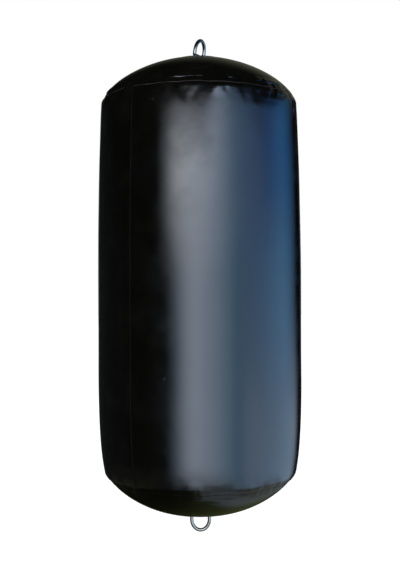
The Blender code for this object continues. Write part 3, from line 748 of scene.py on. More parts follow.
def read_places(node, given):
    """What the puckers depend on: how far the seam is, the direction from the fender's axis, and
    the ways out of the surface, along it and round it."""
    seam = node("GeometryNodeInputNamedAttribute", "seam_distance")
    away = node("ShaderNodeMath", seam, operation="ABSOLUTE")
    normal = node("GeometryNodeInputNamedAttribute", data_type="FLOAT_VECTOR", Name="outward")

    # a place on the chamber's own cylinder
    place = node("GeometryNodeInputPosition")
    place = node("ShaderNodeVectorMath", place, given["axis"], operation="SUBTRACT")
    flat = node("ShaderNodeVectorMath", place, (1.0, 1.0, 0.0), operation="MULTIPLY")
    flat = node("ShaderNodeVectorMath", flat, operation="NORMALIZE")
    ring = node("ShaderNodeVectorMath", flat, Scale=given["radius"], operation="SCALE")
    level = node("ShaderNodeVectorMath", place, (0.0, 0.0, 1.0), operation="MULTIPLY")
    on_cylinder = node("ShaderNodeVectorMath", ring, level, operation="ADD")
    sideways = node("ShaderNodeVectorMath", (0.0, 0.0, 1.0), flat, operation="CROSS_PRODUCT")
    along = node("ShaderNodeVectorMath", normal, sideways, operation="CROSS_PRODUCT")

    # each end has a pattern of its own
    height = node("ShaderNodeSeparateXYZ", place).outputs["Z"]
    side = node("ShaderNodeMath", height, operation="SIGN")
    pattern = node("ShaderNodeMath", side, 0.5, given["seed"], operation="MULTIPLY_ADD")
    shift = node("ShaderNodeVectorMath", (3.7, 1.3, 0.0), Scale=pattern, operation="SCALE")
    ring = node("ShaderNodeVectorMath", ring, shift, operation="ADD")
    return SimpleNamespace(
        seam=seam,
        away=away,
        normal=normal,
        along=along,
        sideways=sideways,
        on_cylinder=on_cylinder,
        ring=ring,
        side=side,
    )


def seam_creases(node, given, at):
    """Creases that start at the seam, with a pillow between each two, and how strong they are."""
    # they lean a little to either side as they run away from the seam
    lean = node("ShaderNodeTexNoise", at.ring, 1 / (80 * MM), 1.0)
    lean = node("ShaderNodeMapRange", lean, 0.0, 1.0, -1.2, 1.2)
    lean = node("ShaderNodeMath", lean, at.away, operation="MULTIPLY")
    lean = node("ShaderNodeVectorMath", at.sideways, Scale=lean, operation="SCALE")
    leaning = node("ShaderNodeVectorMath", at.ring, lean, operation="ADD")
    scale = node("ShaderNodeMath", 1.0, given["spacing"], operation="DIVIDE")
    cells = {"voronoi_dimensions": "2D", "feature": "DISTANCE_TO_EDGE"}
    to_edge = node("ShaderNodeTexVoronoi", Vector=leaning, Scale=scale, **cells)
    crease = node("ShaderNodeMapRange", to_edge, 0.0, 0.32, 1.0, 0.0, interpolation_type=SMOOTH)
    pillow = node("ShaderNodeMapRange", to_edge, 0.02, 0.45, 0.0, 1.0, interpolation_type=SMOOTH)

    # some stretches have strong creases and some have long ones
    cloud = node("ShaderNodeTexNoise", at.ring, 1 / (50 * MM), 1.0)
    chance, other_chance, _ = node("ShaderNodeSeparateXYZ", cloud.outputs["Color"]).outputs
    strength = node("ShaderNodeMapRange", chance, 0.35, 0.65, 0.25, 1.1)
    crease = node("ShaderNodeMath", crease, strength, operation="MULTIPLY")
    length = node("ShaderNodeMapRange", other_chance, 0.35, 0.65, 0.4, 1.3)
    length = node("ShaderNodeMath", length, given["reach"], operation="MULTIPLY")
    share = node("ShaderNodeMath", at.away, length, operation="DIVIDE")
    fade = node("ShaderNodeMapRange", share, 0.0, 1.0, 1.0, 0.0, interpolation_type=SMOOTH)
    form = node("ShaderNodeMath", pillow, 0.6, operation="MULTIPLY")
    form = node("ShaderNodeMath", form, crease, operation="SUBTRACT")
    for factor in (fade, given["depth"]):
        form = node("ShaderNodeMath", form, factor, operation="MULTIPLY")
    return form, strength


def seam_pull(node, given, at):
    """The stiff seam draws the fabric in, further in some places than in others, and the fabric
    bulges beyond."""
    reach = node("ShaderNodeTexNoise", at.ring, 1 / (110 * MM), 2.0)
    reach = node("ShaderNodeMapRange", reach, 0.38, 0.62, 12 * MM, 48 * MM)
    pull = node("ShaderNodeMath", at.away, reach, operation="DIVIDE")
    pull = node("ShaderNodeMapRange", pull, 0.0, 1.0, 1.0, 0.0)
    pull = node("ShaderNodeMath", pull, 1.9, operation="POWER")
    bulge = node("ShaderNodeMapRange", at.away, 30 * MM, 95 * MM, 0.4, 0.0, interpolation_type=SMOOTH)
    pull = node("ShaderNodeMath", bulge, pull, operation="SUBTRACT")
    return node("ShaderNodeMath", pull, given["pull"], operation="MULTIPLY")


def seam_roll(node, given, at):
    """The dome rolls over beside the seam in some stretches, with its steep side towards the seam."""
    line = node("ShaderNodeTexNoise", at.ring, 1 / (30 * MM), 2.0)
    line = node("ShaderNodeMath", line, 5 * MM, at.seam, operation="MULTIPLY_ADD")
    rise = node("ShaderNodeMapRange", line, -26 * MM, -13 * MM, 0.0, 1.0, interpolation_type=SMOOTH)
    fall = node("ShaderNodeMapRange", line, -12 * MM, -9 * MM, 1.0, 0.0, interpolation_type=SMOOTH)
    stretch = node("ShaderNodeTexNoise", at.ring, 1 / (55 * MM), 2.0)
    most = node("ShaderNodeMapRange", at.side, -1.0, 1.0, 0.55, 1.0)
    stretch = node("ShaderNodeMapRange", stretch, 0.45, 0.55, 0.0, most, interpolation_type=SMOOTH)
    roll = rise
    for factor in (fall, stretch, given["roll"]):
        roll = node("ShaderNodeMath", roll, factor, operation="MULTIPLY")
    return roll


def seam_crinkles(node, given, at, strength):
    """Fine crinkles run across the seam where its creases are strong."""
    by_seam = node("ShaderNodeMath", at.seam, 0.35, operation="MULTIPLY")
    by_seam = node("ShaderNodeCombineXYZ", Z=by_seam)
    by_seam = node("ShaderNodeVectorMath", at.ring, by_seam, operation="ADD")
    crinkle = node("ShaderNodeTexNoise", by_seam, 1 / (13 * MM), 1.0)
    crinkle = node("ShaderNodeMapRange", crinkle, 0.3, 0.7, -1.0, 1.0)
    fade = node("ShaderNodeMapRange", at.away, 3 * MM, 26 * MM, 1.0, 0.0, interpolation_type=SMOOTH)
    for factor in (strength, fade, given["crinkle"]):
        crinkle = node("ShaderNodeMath", crinkle, factor, operation="MULTIPLY")
    return crinkle


def slow_waves(node, given, at):
    """Long low waves, which die out in the first 80 mm of the dome past its seam."""
    scale = node("ShaderNodeMath", 1.0, given["wave_length"], operation="DIVIDE")
    waves = node("ShaderNodeTexNoise", at.on_cylinder, scale, 1.0)
    waves = node("ShaderNodeMapRange", waves, 0.0, 1.0, -1.0, 1.0, clamp=False)
    ends = node("ShaderNodeMapRange", at.seam, -80 * MM, -10 * MM, 0.0, 1.0, interpolation_type=SMOOTH)
    for factor in (ends, given["waviness"]):
        waves = node("ShaderNodeMath", waves, factor, operation="MULTIPLY")
    return waves


def seam_drift(node, given, at):
    """The seam itself runs a little up and down."""
    drift = node("ShaderNodeTexNoise", at.ring, 1 / (75 * MM), 3.0, 0.6)
    drift = node("ShaderNodeMapRange", drift, 0.2, 0.8, -1.0, 1.0)
    near = node("ShaderNodeMapRange", at.away, 0.0, 45 * MM, 1.0, 0.0, interpolation_type=SMOOTH)
    for factor in (near, given["wander"]):
        drift = node("ShaderNodeMath", drift, factor, operation="MULTIPLY")
    return drift


def pucker_tree():
    """Gather the fabric along its ring seams, and make it slightly wavy everywhere.

    Every offset depends only on the direction from the fender's axis and on the distance from the
    seam, so two layers of fabric move together.
    """
    sizes = "depth spacing reach pull roll crinkle wander waviness wave_length radius seed".split()
    tree, node, given = start_tree("Seam puckers", axis="Vector", **dict.fromkeys(sizes, "Float"))
    at = read_places(node, given)
    total, strength = seam_creases(node, given, at)
    for form in (
        seam_pull(node, given, at),
        seam_roll(node, given, at),
        seam_crinkles(node, given, at, strength),
        slow_waves(node, given, at),
    ):
        total = node("ShaderNodeMath", total, form, operation="ADD")
    out = node("ShaderNodeVectorMath", at.normal, Scale=total, operation="SCALE")
    drift = seam_drift(node, given, at)
    drift = node("ShaderNodeVectorMath", at.along, Scale=drift, operation="SCALE")
    move = node("ShaderNodeVectorMath", out, drift, operation="ADD")
    moved = node("GeometryNodeSetPosition", Geometry=given["geometry"], Offset=move)
    end_tree(node, moved, given["material"])
    return tree


def bar_tree():
    """Sweep a round section along edges."""
    tree, node, given = start_tree("Round bar", radius="Float", sides="Int")
    curve = node("GeometryNodeMeshToCurve", given["geometry"])
    section = node("GeometryNodeCurvePrimitiveCircle", given["sides"], Radius=given["radius"])
    bar = node("GeometryNodeCurveToMesh", Curve=curve, Profile_Curve=section, Fill_Caps=True)
    end_tree(node, bar, given["material"])
    return tree


def stitch_tree():
    """Lay rounded stitches end to end along edges."""
    tree, node, given = start_tree("Stitches", pitch="Float", thread="Float")
    curve = node("GeometryNodeMeshToCurve", given["geometry"])
    spots = node("GeometryNodeResampleCurve", mode="LENGTH", Curve=curve, Length=given["pitch"])
    tangent = node("GeometryNodeInputTangent")
    turn = node("FunctionNodeAlignRotationToVector", axis="Z", Vector=tangent)
    ball = node("GeometryNodeMeshUVSphere", 8, 6, 0.5)
    length = node("ShaderNodeMath", given["pitch"], 0.92, operation="MULTIPLY")
    size = node("ShaderNodeCombineXYZ", given["thread"], given["thread"], length)
    stitches = node(
        "GeometryNodeInstanceOnPoints", Points=spots, Instance=ball, Rotation=turn, Scale=size
    )
    end_tree(node, stitches, given["material"])
    return tree


def flute_tree():
    """Sink flutes into the vertices that carry a grip weight, evenly round Z."""
    tree, node, given = start_tree("Grip flutes", count="Int", depth="Float")
    weight = node("GeometryNodeInputNamedAttribute", "grip")
    place = node("GeometryNodeInputPosition")
    x, y, _ = node("ShaderNodeSeparateXYZ", place).outputs
    turn = node("ShaderNodeMath", y, x, operation="ARCTAN2")
    turn = node("ShaderNodeMath", turn, given["count"], operation="MULTIPLY")
    wave = node("ShaderNodeMath", turn, operation="COSINE")
    hollow = node("ShaderNodeMapRange", wave, -0.55, 0.35, 1.0, 0.0, interpolation_type=SMOOTH)
    sink = node("ShaderNodeMath", hollow, weight, operation="MULTIPLY")
    sink = node("ShaderNodeMath", sink, given["depth"], operation="MULTIPLY")
    inwards = node("ShaderNodeVectorMath", place, (-1.0, -1.0, 0.0), operation="MULTIPLY")
    inwards = node("ShaderNodeVectorMath", inwards, operation="NORMALIZE")
    move = node("ShaderNodeVectorMath", inwards, Scale=sink, operation="SCALE")
    moved = node("GeometryNodeSetPosition", Geometry=given["geometry"], Offset=move)
    end_tree(node, moved, given["material"])
    return tree


def helix_tree():
    """A ridge or wire that winds round Z."""
    tree, node, given = start_tree(
        "Helix", turns="Float", radius="Float", height="Float", ridge="Float"
    )
    spiral = node(
        "GeometryNodeCurveSpiral",
        Resolution=96,
        Rotations=given["turns"],
        Start_Radius=given["radius"],
        End_Radius=given["radius"],
        Height=given["height"],
    )
    section = node("GeometryNodeCurvePrimitiveCircle", 6, Radius=given["ridge"])
    ridge = node("GeometryNodeCurveToMesh", Curve=spiral, Profile_Curve=section, Fill_Caps=True)
    end_tree(node, ridge, given["material"])
    return tree


def pucker(piece, material):
    """Give a piece of fabric or a bead the chamber's puckers."""
    settings = bpy.context.scene.fender_chamber
    tree = bpy.data.node_groups.get("Seam puckers") or pucker_tree()
    run_tree(
        piece,
        tree,
        depth=settings.pucker_depth,
        spacing=settings.pucker_spacing,
        reach=settings.pucker_reach,
        pull=settings.pull,
        roll=settings.roll,
        crinkle=settings.crinkle,
        wander=settings.seam_wander,
        waviness=settings.waviness,
        wave_length=settings.wave_length,
        axis=tuple(FENDER),
        radius=CHAMBER_RADIUS,
        seed=settings.seed,
        material=material,
    )


# Frames that pieces are built in


def frame_from(place, x_axis, z_axis):
    """A matrix that puts a piece's X and Z along these axes."""
    y_axis = z_axis.cross(x_axis)
    turned = Matrix((x_axis, y_axis, z_axis)).transposed().to_4x4()
    return Matrix.Translation(place) @ turned


def valve_frame():
    """The valve's frame, with Z outwards and its zero where its axis meets the fabric."""
    return frame_from(VALVE_PLACE, Vector((1, 0, 0)), VALVE_AXIS)


def ring_frame(end):
    """A ring's frame, with its origin in the bar, X along the bar and Z towards its bow."""
    if end is TOP:
        return frame_from(TOP_BAR, TOP_BAR_AXIS, -TOP_BAR.normalized())
    return frame_from(BOTTOM_BAR, Vector((1, 0, 0)), Vector((0, 0, -1)))


def strap_frame(end):
    """The strap's own frame, with Z from the widest level towards this end's crown."""
    if end is TOP:
        return frame_from(FENDER, TOP_BAR_AXIS, Vector((0, 0, 1)))
    return frame_from(FENDER, Vector((1, 0, 0)), Vector((0, 0, -1)))


# Operators, one for each piece or group of like pieces


class FENDER_OT_stage(bpy.types.Operator):
    """Floor, camera, lamps and the light tent that the gloss mirrors"""

    bl_idname = "fender.stage"
    bl_label = "Stage"
    bl_options = {"REGISTER", "UNDO"}

    def execute(self, context):
        settings = context.scene.fender_stage
        add_floor(settings)
        add_camera(context.scene, settings)
        add_daylight(context.scene)
        add_light_tent(settings)
        return {"FINISHED"}


def seen_directly(node):
    """One where a ray comes straight from the camera, a mirror or a clear piece."""
    path = node("ShaderNodeLightPath").outputs
    either = node("ShaderNodeMath", path["Is Camera Ray"], path["Is Glossy Ray"], operation="MAXIMUM")
    return node("ShaderNodeMath", either, path["Is Transmission Ray"], operation="MAXIMUM")


def start_stage_material(name):
    """A material with an empty tree, and a maker of nodes for it."""
    material = bpy.data.materials.new(name)
    material.use_nodes = True
    material.node_tree.nodes.clear()
    return material, partial(add_node, material.node_tree)


def add_floor(settings):
    half = 25.0
    mesh = bpy.data.meshes.new("floor")
    corners = [(-half, -half, 0), (half, -half, 0), (half, half, 0), (-half, half, 0)]
    mesh.from_pydata(corners, [], [(0, 1, 2, 3)])
    material, node = start_stage_material("painted_studio_floor")
    paint = node("ShaderNodeBsdfDiffuse", hex_colour("#DDDDDD"))
    glow = node("ShaderNodeMath", seen_directly(node), 0.42, operation="MULTIPLY")
    lit = node("ShaderNodeEmission", Strength=glow)
    both = node("ShaderNodeAddShader", paint, lit)
    # it is clear from below, so that the underside can be looked at
    below = node("ShaderNodeNewGeometry").outputs["Backfacing"]
    both = node("ShaderNodeMixShader", below, both, node("ShaderNodeBsdfTransparent"))
    node("ShaderNodeOutputMaterial", both)
    floor = add_piece("floor", mesh, material)
    floor.location.z = -settings.floor_drop


def add_camera(scene, settings):
    """Level with the fender's middle, far enough away that its whole height fits."""
    data = bpy.data.cameras.new("camera")
    data.lens = settings.lens
    camera = bpy.data.objects.new("camera", data)
    side = 0.9 * MM
    camera.location = FENDER + Vector((side, -settings.camera_distance, 0))
    camera.rotation_euler = (pi / 2, settings.camera_roll, 0)
    scene.collection.objects.link(camera)
    scene.camera = camera


def add_daylight(scene):
    """A white world and one broad lamp, at a level where a colour renders about as it is written."""
    world = bpy.data.worlds.new("studio")
    scene.world = world
    world.use_nodes = True
    tree = world.node_tree
    node = partial(add_node, tree)
    fill = 0.5
    level = node("ShaderNodeMath", seen_directly(node), 1 - fill, fill, operation="MULTIPLY_ADD")
    fill_sockets(tree, tree.nodes["Background"], (1.0, 1.0, 1.0, 1.0), level)
    data = bpy.data.lights.new("broad_lamp", "SUN")
    data.energy = 2.2
    data.angle = radians(50)
    lamp = bpy.data.objects.new("broad_lamp", data)
    lamp.rotation_euler = (radians(38), radians(-24), 0)
    lamp.visible_glossy = False
    scene.collection.objects.link(lamp)
    scene.view_settings.view_transform = "Standard"


def ramp_round(node, azimuth, *stops):
    """A ramp of a few colours, at angles to the right of the front."""
    ramp = node("ShaderNodeValToRGB", azimuth)
    ramp.color_ramp.interpolation = "CARDINAL"
    elements = ramp.color_ramp.elements
    while len(elements) < len(stops):
        elements.new(0.5)
    for element, (angle, code) in zip(elements, stops):
        element.position = angle / 360 + 0.5
        element.color = hex_colour(code)
    return ramp


def bright_bank(node, azimuth, elevation):
    """The bank at the front, which turns blue to the right and is duller low down."""
    upper = ramp_round(
        node,
        azimuth,
        (-150, "#0B0D0E"),
        (-95, "#020202"),
        (-55, "#000000"),
        (-43, "#23292D"),
        (-33, "#969CA2"),
        (-22, "#E2EAF2"),
        (2, "#D8E3F4"),
        (34, "#7F98B4"),
        (70, "#4B6693"),
        (105, "#34669B"),
        (131, "#111B27"),
        (150, "#0B0D0E"),
    )
    lower = ramp_round(
        node,
        azimuth,
        (-150, "#0D0F10"),
        (-95, "#060708"),
        (-44, "#060708"),
        (-34, "#1B232B"),
        (-24, "#6D7986"),
        (-11, "#B2BFD2"),
        (3, "#B0BFD3"),
        (34, "#6E8CA5"),
        (52, "#5C7A9C"),
        (102, "#5B87B0"),
        (131, "#14222F"),
        (150, "#0D0F10"),
    )
    height = node("ShaderNodeMapRange", elevation, -2.0, 16.0, 0.0, 1.0, interpolation_type=SMOOTH)
    bank = node("ShaderNodeMix", height, lower, upper, data_type="RGBA")

    # it is paler low down at the right
    past = node("ShaderNodeMath", azimuth, 0.745, operation="SUBTRACT")
    past = node("ShaderNodeMath", past, operation="ABSOLUTE")
    pale = node("ShaderNodeMapRange", past, 0.09, 0.15, 0.6, 0.0, interpolation_type=SMOOTH)
    below = node("ShaderNodeMapRange", elevation, -20.0, 2.0, 1.0, 0.0, interpolation_type=SMOOTH)
    pale = node("ShaderNodeMath", pale, below, operation="MULTIPLY")
    return node("ShaderNodeMix", pale, bank, hex_colour("#8C9CAF"), data_type="RGBA")


def dark_above(node, bank, x, y, azimuth, elevation):
    """Above the bank's upper edge, which is highest right of the middle, all is dark, less so
    behind."""
    edge = node("ShaderNodeMapRange", azimuth, 0.5, 0.58, 0.0, 4.5, interpolation_type=SMOOTH)
    drop = node("ShaderNodeMapRange", azimuth, 0.63, 0.7, 0.0, 2.8, interpolation_type=SMOOTH)
    edge = node("ShaderNodeMath", edge, drop, operation="SUBTRACT")
    over = node("ShaderNodeMath", elevation, edge, operation="SUBTRACT")
    over = node("ShaderNodeMapRange", over, 18.0, 21.0, 0.0, 1.0, interpolation_type=SMOOTH)
    back = node("ShaderNodeMath", x, 0.5, y, operation="MULTIPLY_ADD")
    back = node("ShaderNodeMapRange", back, 1.5, 3.2, 0.0, 1.0, interpolation_type=SMOOTH)
    dark = node("ShaderNodeMix", back, hex_colour("#040403"), hex_colour("#3F4036"), data_type="RGBA")
    return node("ShaderNodeMix", over, bank, dark, data_type="RGBA")


def ground_below(node, bank, x, y, azimuth, elevation):
    """Grass below, in shade left of the middle, and bare ground in front."""
    ground = hex_colour("#060702")
    for start, stop, first, last, code in (
        (-0.25, 0.32, 0.0, 1.0, "#2A2E18"),
        (0.3, 0.6, 0.0, 1.0, "#474B40"),
        (-0.85, -0.4, 1.0, 0.0, "#262820"),
    ):
        shade = node("ShaderNodeMapRange", x, start, stop, first, last, interpolation_type=SMOOTH)
        ground = node("ShaderNodeMix", shade, ground, hex_colour(code), data_type="RGBA")
    bare = node("ShaderNodeMath", x, -2.0, y, operation="MULTIPLY_ADD")
    bare = node("ShaderNodeMapRange", bare, -0.36, -0.06, 1.0, 0.0, interpolation_type=SMOOTH)
    for start, stop, first, last in ((-0.15, 0.2, 0.0, 1.0), (0.12, 0.36, 1.0, 0.5)):
        part = node("ShaderNodeMapRange", x, start, stop, first, last, interpolation_type=SMOOTH)
        bare = node("ShaderNodeMath", bare, part, operation="MULTIPLY")
    ground = node("ShaderNodeMix", bare, ground, hex_colour("#505459"), data_type="RGBA")
    edge = node("ShaderNodeMapRange", azimuth, 0.5, 0.62, 0.0, 4.5, interpolation_type=SMOOTH)
    low = node("ShaderNodeMath", elevation, edge, operation="ADD")
    low = node("ShaderNodeMapRange", low, -52.0, -29.0, 1.0, 0.0, interpolation_type=SMOOTH)
    return node("ShaderNodeMix", low, bank, ground, data_type="RGBA")


def bank_behind(node, bank, azimuth, elevation):
    """A bank behind, between the heights that the front view's top and bottom rims mirror."""
    aside = node("ShaderNodeMath", azimuth, 0.5, operation="SUBTRACT")
    aside = node("ShaderNodeMath", aside, operation="ABSOLUTE")
    behind = node("ShaderNodeMapRange", aside, 0.43, 0.47, 0.0, 1.0, interpolation_type=SMOOTH)
    off_level = node("ShaderNodeMath", elevation, operation="ABSOLUTE")
    off_level = node("ShaderNodeMapRange", off_level, 8.0, 13.0, 1.0, 0.0, interpolation_type=SMOOTH)
    behind = node("ShaderNodeMath", behind, off_level, operation="MULTIPLY")
    return node("ShaderNodeMix", behind, bank, hex_colour("#9CA6B1"), data_type="RGBA")


def tent_material(settings):
    """What the gloss mirrors. The azimuth is 0.5 at the front, 0.75 at the right and 0 or 1 behind,
    and the elevation is in degrees."""
    material, node = start_stage_material("light_tent")
    place = node("ShaderNodeTexCoord").outputs["Object"]
    x, y, z = node("ShaderNodeSeparateXYZ", place).outputs
    front = node("ShaderNodeMath", y, -1.0, operation="MULTIPLY")
    azimuth = node("ShaderNodeMath", x, front, operation="ARCTAN2")
    azimuth = node("ShaderNodeMath", azimuth, 0.5 / pi, 0.5, operation="MULTIPLY_ADD")
    flat = node("ShaderNodeVectorMath", place, (1.0, 1.0, 0.0), operation="MULTIPLY")
    across = node("ShaderNodeVectorMath", flat, operation="LENGTH").outputs["Value"]
    elevation = node("ShaderNodeMath", z, across, operation="ARCTAN2")
    elevation = node("ShaderNodeMath", elevation, 180 / pi, operation="MULTIPLY")

    bank = bright_bank(node, azimuth, elevation)
    bank = dark_above(node, bank, x, y, azimuth, elevation)
    bank = ground_below(node, bank, x, y, azimuth, elevation)
    bank = bank_behind(node, bank, azimuth, elevation)
    lit = node("ShaderNodeEmission", bank, settings.bank_level)
    node("ShaderNodeOutputMaterial", lit)
    material.cycles.emission_sampling = "NONE"
    return material


def add_light_tent(settings):
    """A closed shell that only mirrored rays see. Its lower half stops just above the floor."""
    mesh = bpy.data.meshes.new("light_tent")
    shape = bmesh.new()
    bmesh.ops.create_uvsphere(shape, u_segments=96, v_segments=48, radius=1.0)
    radius = 3.0
    above_floor = 0.06
    depth = settings.floor_drop + FENDER.z - above_floor
    for vertex in shape.verts:
        vertex.co.x *= radius
        vertex.co.y *= radius
        vertex.co.z *= depth if vertex.co.z < 0 else radius
    shape.to_mesh(mesh)
    shape.free()
    tent = add_piece("light_tent", mesh, tent_material(settings))
    tent.location = FENDER
    tent.visible_camera = False
    tent.visible_diffuse = False
    tent.visible_transmission = False
    tent.visible_shadow = False
    tent.visible_volume_scatter = False


class FENDER_OT_side_wall(bpy.types.Operator):
    """The rolled sheet, lapped and welded along its length"""

    bl_idname = "fender.side_wall"
    bl_label = "Side wall"
    bl_options = {"REGISTER", "UNDO"}

    def execute(self, context):
        mesh = wall_mesh(context.scene.fender_chamber)
        wall = add_piece("chamber_wall", mesh)
        pucker(wall, finish_for("coated_fabric"))
        settle(wall, "chamber", "coated_fabric", "side_wall")
        return {"FINISHED"}


def ease(share):
    """0 to 1 with a gentle start and stop."""
    share = min(max(share, 0), 1)
    return share * share * (3 - 2 * share)


def wall_columns(count):
    """Angles of the wall's columns, and how far the sheet is lifted there by its lap."""
    free, inner, climb_end, climb_start = lap_angles()
    turn = 2 * pi
    pitch = turn / count
    angles = [inner + pitch * k for k in range(count) if inner + pitch * k < climb_start + turn]
    lifts = [0.0] * len(angles)
    climb_steps = 10
    for k in range(climb_steps + 1):
        share = k / climb_steps
        angles.append(climb_start + turn + (climb_end - climb_start) * share)
        lifts.append(LAYER * ease(share))
    lap_steps = 10
    for k in range(1, lap_steps + 1):
        angles.append(climb_end + turn + (free - climb_end) * k / lap_steps)
        lifts.append(LAYER)
    # the lap shows the inner layer's edge as a low ridge
    height, width = 0.12 * MM, 2.6 * MM / CHAMBER_RADIUS
    ridge = [height * np.exp(-(((angle - inner - turn) / width) ** 2)) for angle in angles]
    return np.array(angles), np.array(lifts) + np.array(ridge)


def skirt_mark(distance):
    """How far the wall sinks past the edge of the skirt below it."""
    sink = ease((distance - SKIRT + 3 * MM) / (10 * MM))
    rise = ease((distance - SKIRT - 12 * MM) / (58 * MM))
    return -0.12 * MM * (sink - rise)


def wall_rows(end):
    """Rows of (end, radius, height, lift, seam) from the seam to the widest level."""
    close, wide = 4 * MM, 12 * MM
    rounding = 0.35 * MM
    near = skirt_distances() + [SKIRT + close * k for k in range(1, 10)]
    span = end.seam_height - near[-1]
    steps = round(span / wide)
    far = [near[-1] + span * k / steps for k in range(1, steps)]
    rows = []
    for distance in near + far:
        lift = skirt_mark(distance) - (rounding if distance == 0 else 0)
        rows.append((end, *meridian_point(end, end.seam_height - distance), lift, distance))
    return rows


def wall_mesh(settings):
    angles, lifts = wall_columns(settings.columns)
    middle = (TOP, *meridian_point(TOP, 0), 0, TOP.seam_height)
    outer = wall_rows(BOTTOM) + [middle] + wall_rows(TOP)[::-1]
    # the inside needs fewer rows
    skirt = len(skirt_distances())
    inner = outer[:skirt:3] + outer[skirt:-skirt:6] + outer[: -skirt - 1 : -3][::-1]
    raised = [(e, r, h, GAP + FABRIC + lift, s) for e, r, h, lift, s in outer]
    lowered = [(e, r, h, GAP + skirt_mark(s), s) for e, r, h, _, s in inner]
    arrays = [sheet_arrays(raised, angles, lifts), sheet_arrays(lowered, angles, lifts)]

    columns = len(angles)
    start = len(raised) * columns
    faces = grid_faces(0, len(raised), columns, False)
    faces += grid_faces(start, len(lowered), columns, False)
    for top, bottom in ((0, start), ((len(raised) - 1) * columns, start + (len(lowered) - 1) * columns)):
        faces += strip_faces(range(top, top + columns), range(bottom, bottom + columns))
    for column in (0, columns - 1):
        upper = [row * columns + column for row in range(len(raised))]
        lower = [start + row * columns + column for row in range(len(lowered))]
        faces.append(upper + lower[::-1])
    arc = np.tile(angles * CHAMBER_RADIUS, len(raised) + len(lowered))
    heights = np.concatenate([a[0][..., 2].ravel() for a in arrays])
    return sheet_mesh("chamber_wall", arrays, faces, np.stack([arc, heights], -1))


class FENDER_OT_end_panels(bpy.types.Operator):
    """The domed panel at each end, its skirt inside the wall"""

    bl_idname = "fender.end_panels"
    bl_label = "End panels"
    bl_options = {"REGISTER", "UNDO"}

    def execute(self, context):
        for label, end in (("top", TOP), ("bottom", BOTTOM)):
            mesh = panel_mesh(label, end, context.scene.fender_chamber.columns)
            panel = add_piece(f"{label}_dome", mesh)
            pucker(panel, finish_for("coated_fabric"))
            if end is TOP:
                cut_valve_hole(panel)
            settle(panel, "chamber", "coated_fabric", f"{label}_end_panel")
        return {"FINISHED"}


def dome_rows(end, steps):
    """Meridian points from the seam to the crown, much closer together near the seam."""
    start = acos(end.seam / end.dome)
    points = []
    for k in range(1, steps):
        share = k / steps
        angle = start * (1 - 0.25 * share - 0.75 * share**3)
        points.append(meridian_point(end, end.barrel + end.dome * cos(angle)))
    return points


def panel_mesh(label, end, count):
    _, inner_edge, _, _ = lap_angles()
    angles = inner_edge + 2 * pi * np.arange(count) / count
    level = np.zeros(count)
    rows = []
    for distance in sorted(set(skirt_distances()), reverse=True):
        rows.append((end, *meridian_point(end, end.seam_height - distance), 0, distance))
    seam = 0.0
    before = meridian_point(end, end.seam_height)
    dome_steps = 72
    for point in dome_rows(end, dome_steps):
        seam -= hypot(point[0] - before[0], point[1] - before[1])
        rows.append((end, *point, 0, seam))
        before = point
    under = [(e, r, h, -FABRIC, s) for e, r, h, _, s in rows[::2]]
    pole = seam - before[0]
    arrays = [sheet_arrays(rows, angles, level), sheet_arrays(under, angles, level)]
    for lift in (0, -FABRIC):
        arrays.append(sheet_arrays([(end, 0, end.crown, lift, pole)], angles[:1], level[:1]))

    start = len(rows) * count
    faces = grid_faces(0, len(rows), count, True) + grid_faces(start, len(under), count, True)
    around = list(range(count)) + [0]
    faces += strip_faces(around, [start + i for i in around])
    crowns = start + len(under) * count
    for ring, centre in (((len(rows) - 1) * count, crowns), (crowns - count, crowns + 1)):
        faces += [[ring + around[i], ring + around[i + 1], centre] for i in range(count)]
    reach = np.concatenate([np.full(a[2].shape, a[2] - pole).ravel() for a in arrays])
    turned = np.concatenate([np.tile(angles, len(rows) + len(under)), angles[:1], angles[:1]])
    cloth = np.stack([reach * np.cos(turned), reach * np.sin(turned)], -1)
    return sheet_mesh(f"{label}_dome", arrays, faces, cloth)


def cut_valve_hole(panel):
    depth = 20 * MM
    hole = BOOT_HUB + GAP
    outline = [(0, -depth), (hole, -depth), (hole, depth), (0, depth)]
    cutter = add_piece("valve_hole_cutter", lathe("valve_hole_cutter", outline, 96, valve_frame()))
    modifier = panel.modifiers.new("valve hole", "BOOLEAN")
    modifier.operation = "DIFFERENCE"
    modifier.object = cutter
    plain_mesh(panel)
    bpy.data.objects.remove(cutter, do_unlink=True)


class FENDER_OT_weld_beads(bpy.types.Operator):
    """Squeezed-out coating along the two ring seams and the lengthwise lap"""

    bl_idname = "fender.weld_beads"
    bl_label = "Weld beads"
    bl_options = {"REGISTER", "UNDO"}

    def execute(self, context):
        count = context.scene.fender_chamber.columns
        # the upper ring seam's bead is paler and shinier as a painted highlight of the light its upward edge
        # catches; the lower one's is near black and dull as painted shade in its crease
        lit_and_shaded_tones = {"top": ("#433C3F", 0.5), "bottom": ("#0B0A0A", 0.12)}
        for label, end in (("top", TOP), ("bottom", BOTTOM)):
            bead = add_piece(f"{label}_seam_bead", ring_bead_mesh(label, end, count))
            pucker(bead, weld_bead(f"{label}_weld_squeeze_out", *lit_and_shaded_tones[label]))
            settle(bead, "chamber", "coated_fabric")
        bead = add_piece("lap_seam_bead", lap_bead_mesh())
        pucker(bead, weld_bead("lap_weld_squeeze_out", "#0E0D0D", 0.14))
        settle(bead, "chamber", "coated_fabric")
        return {"FINISHED"}


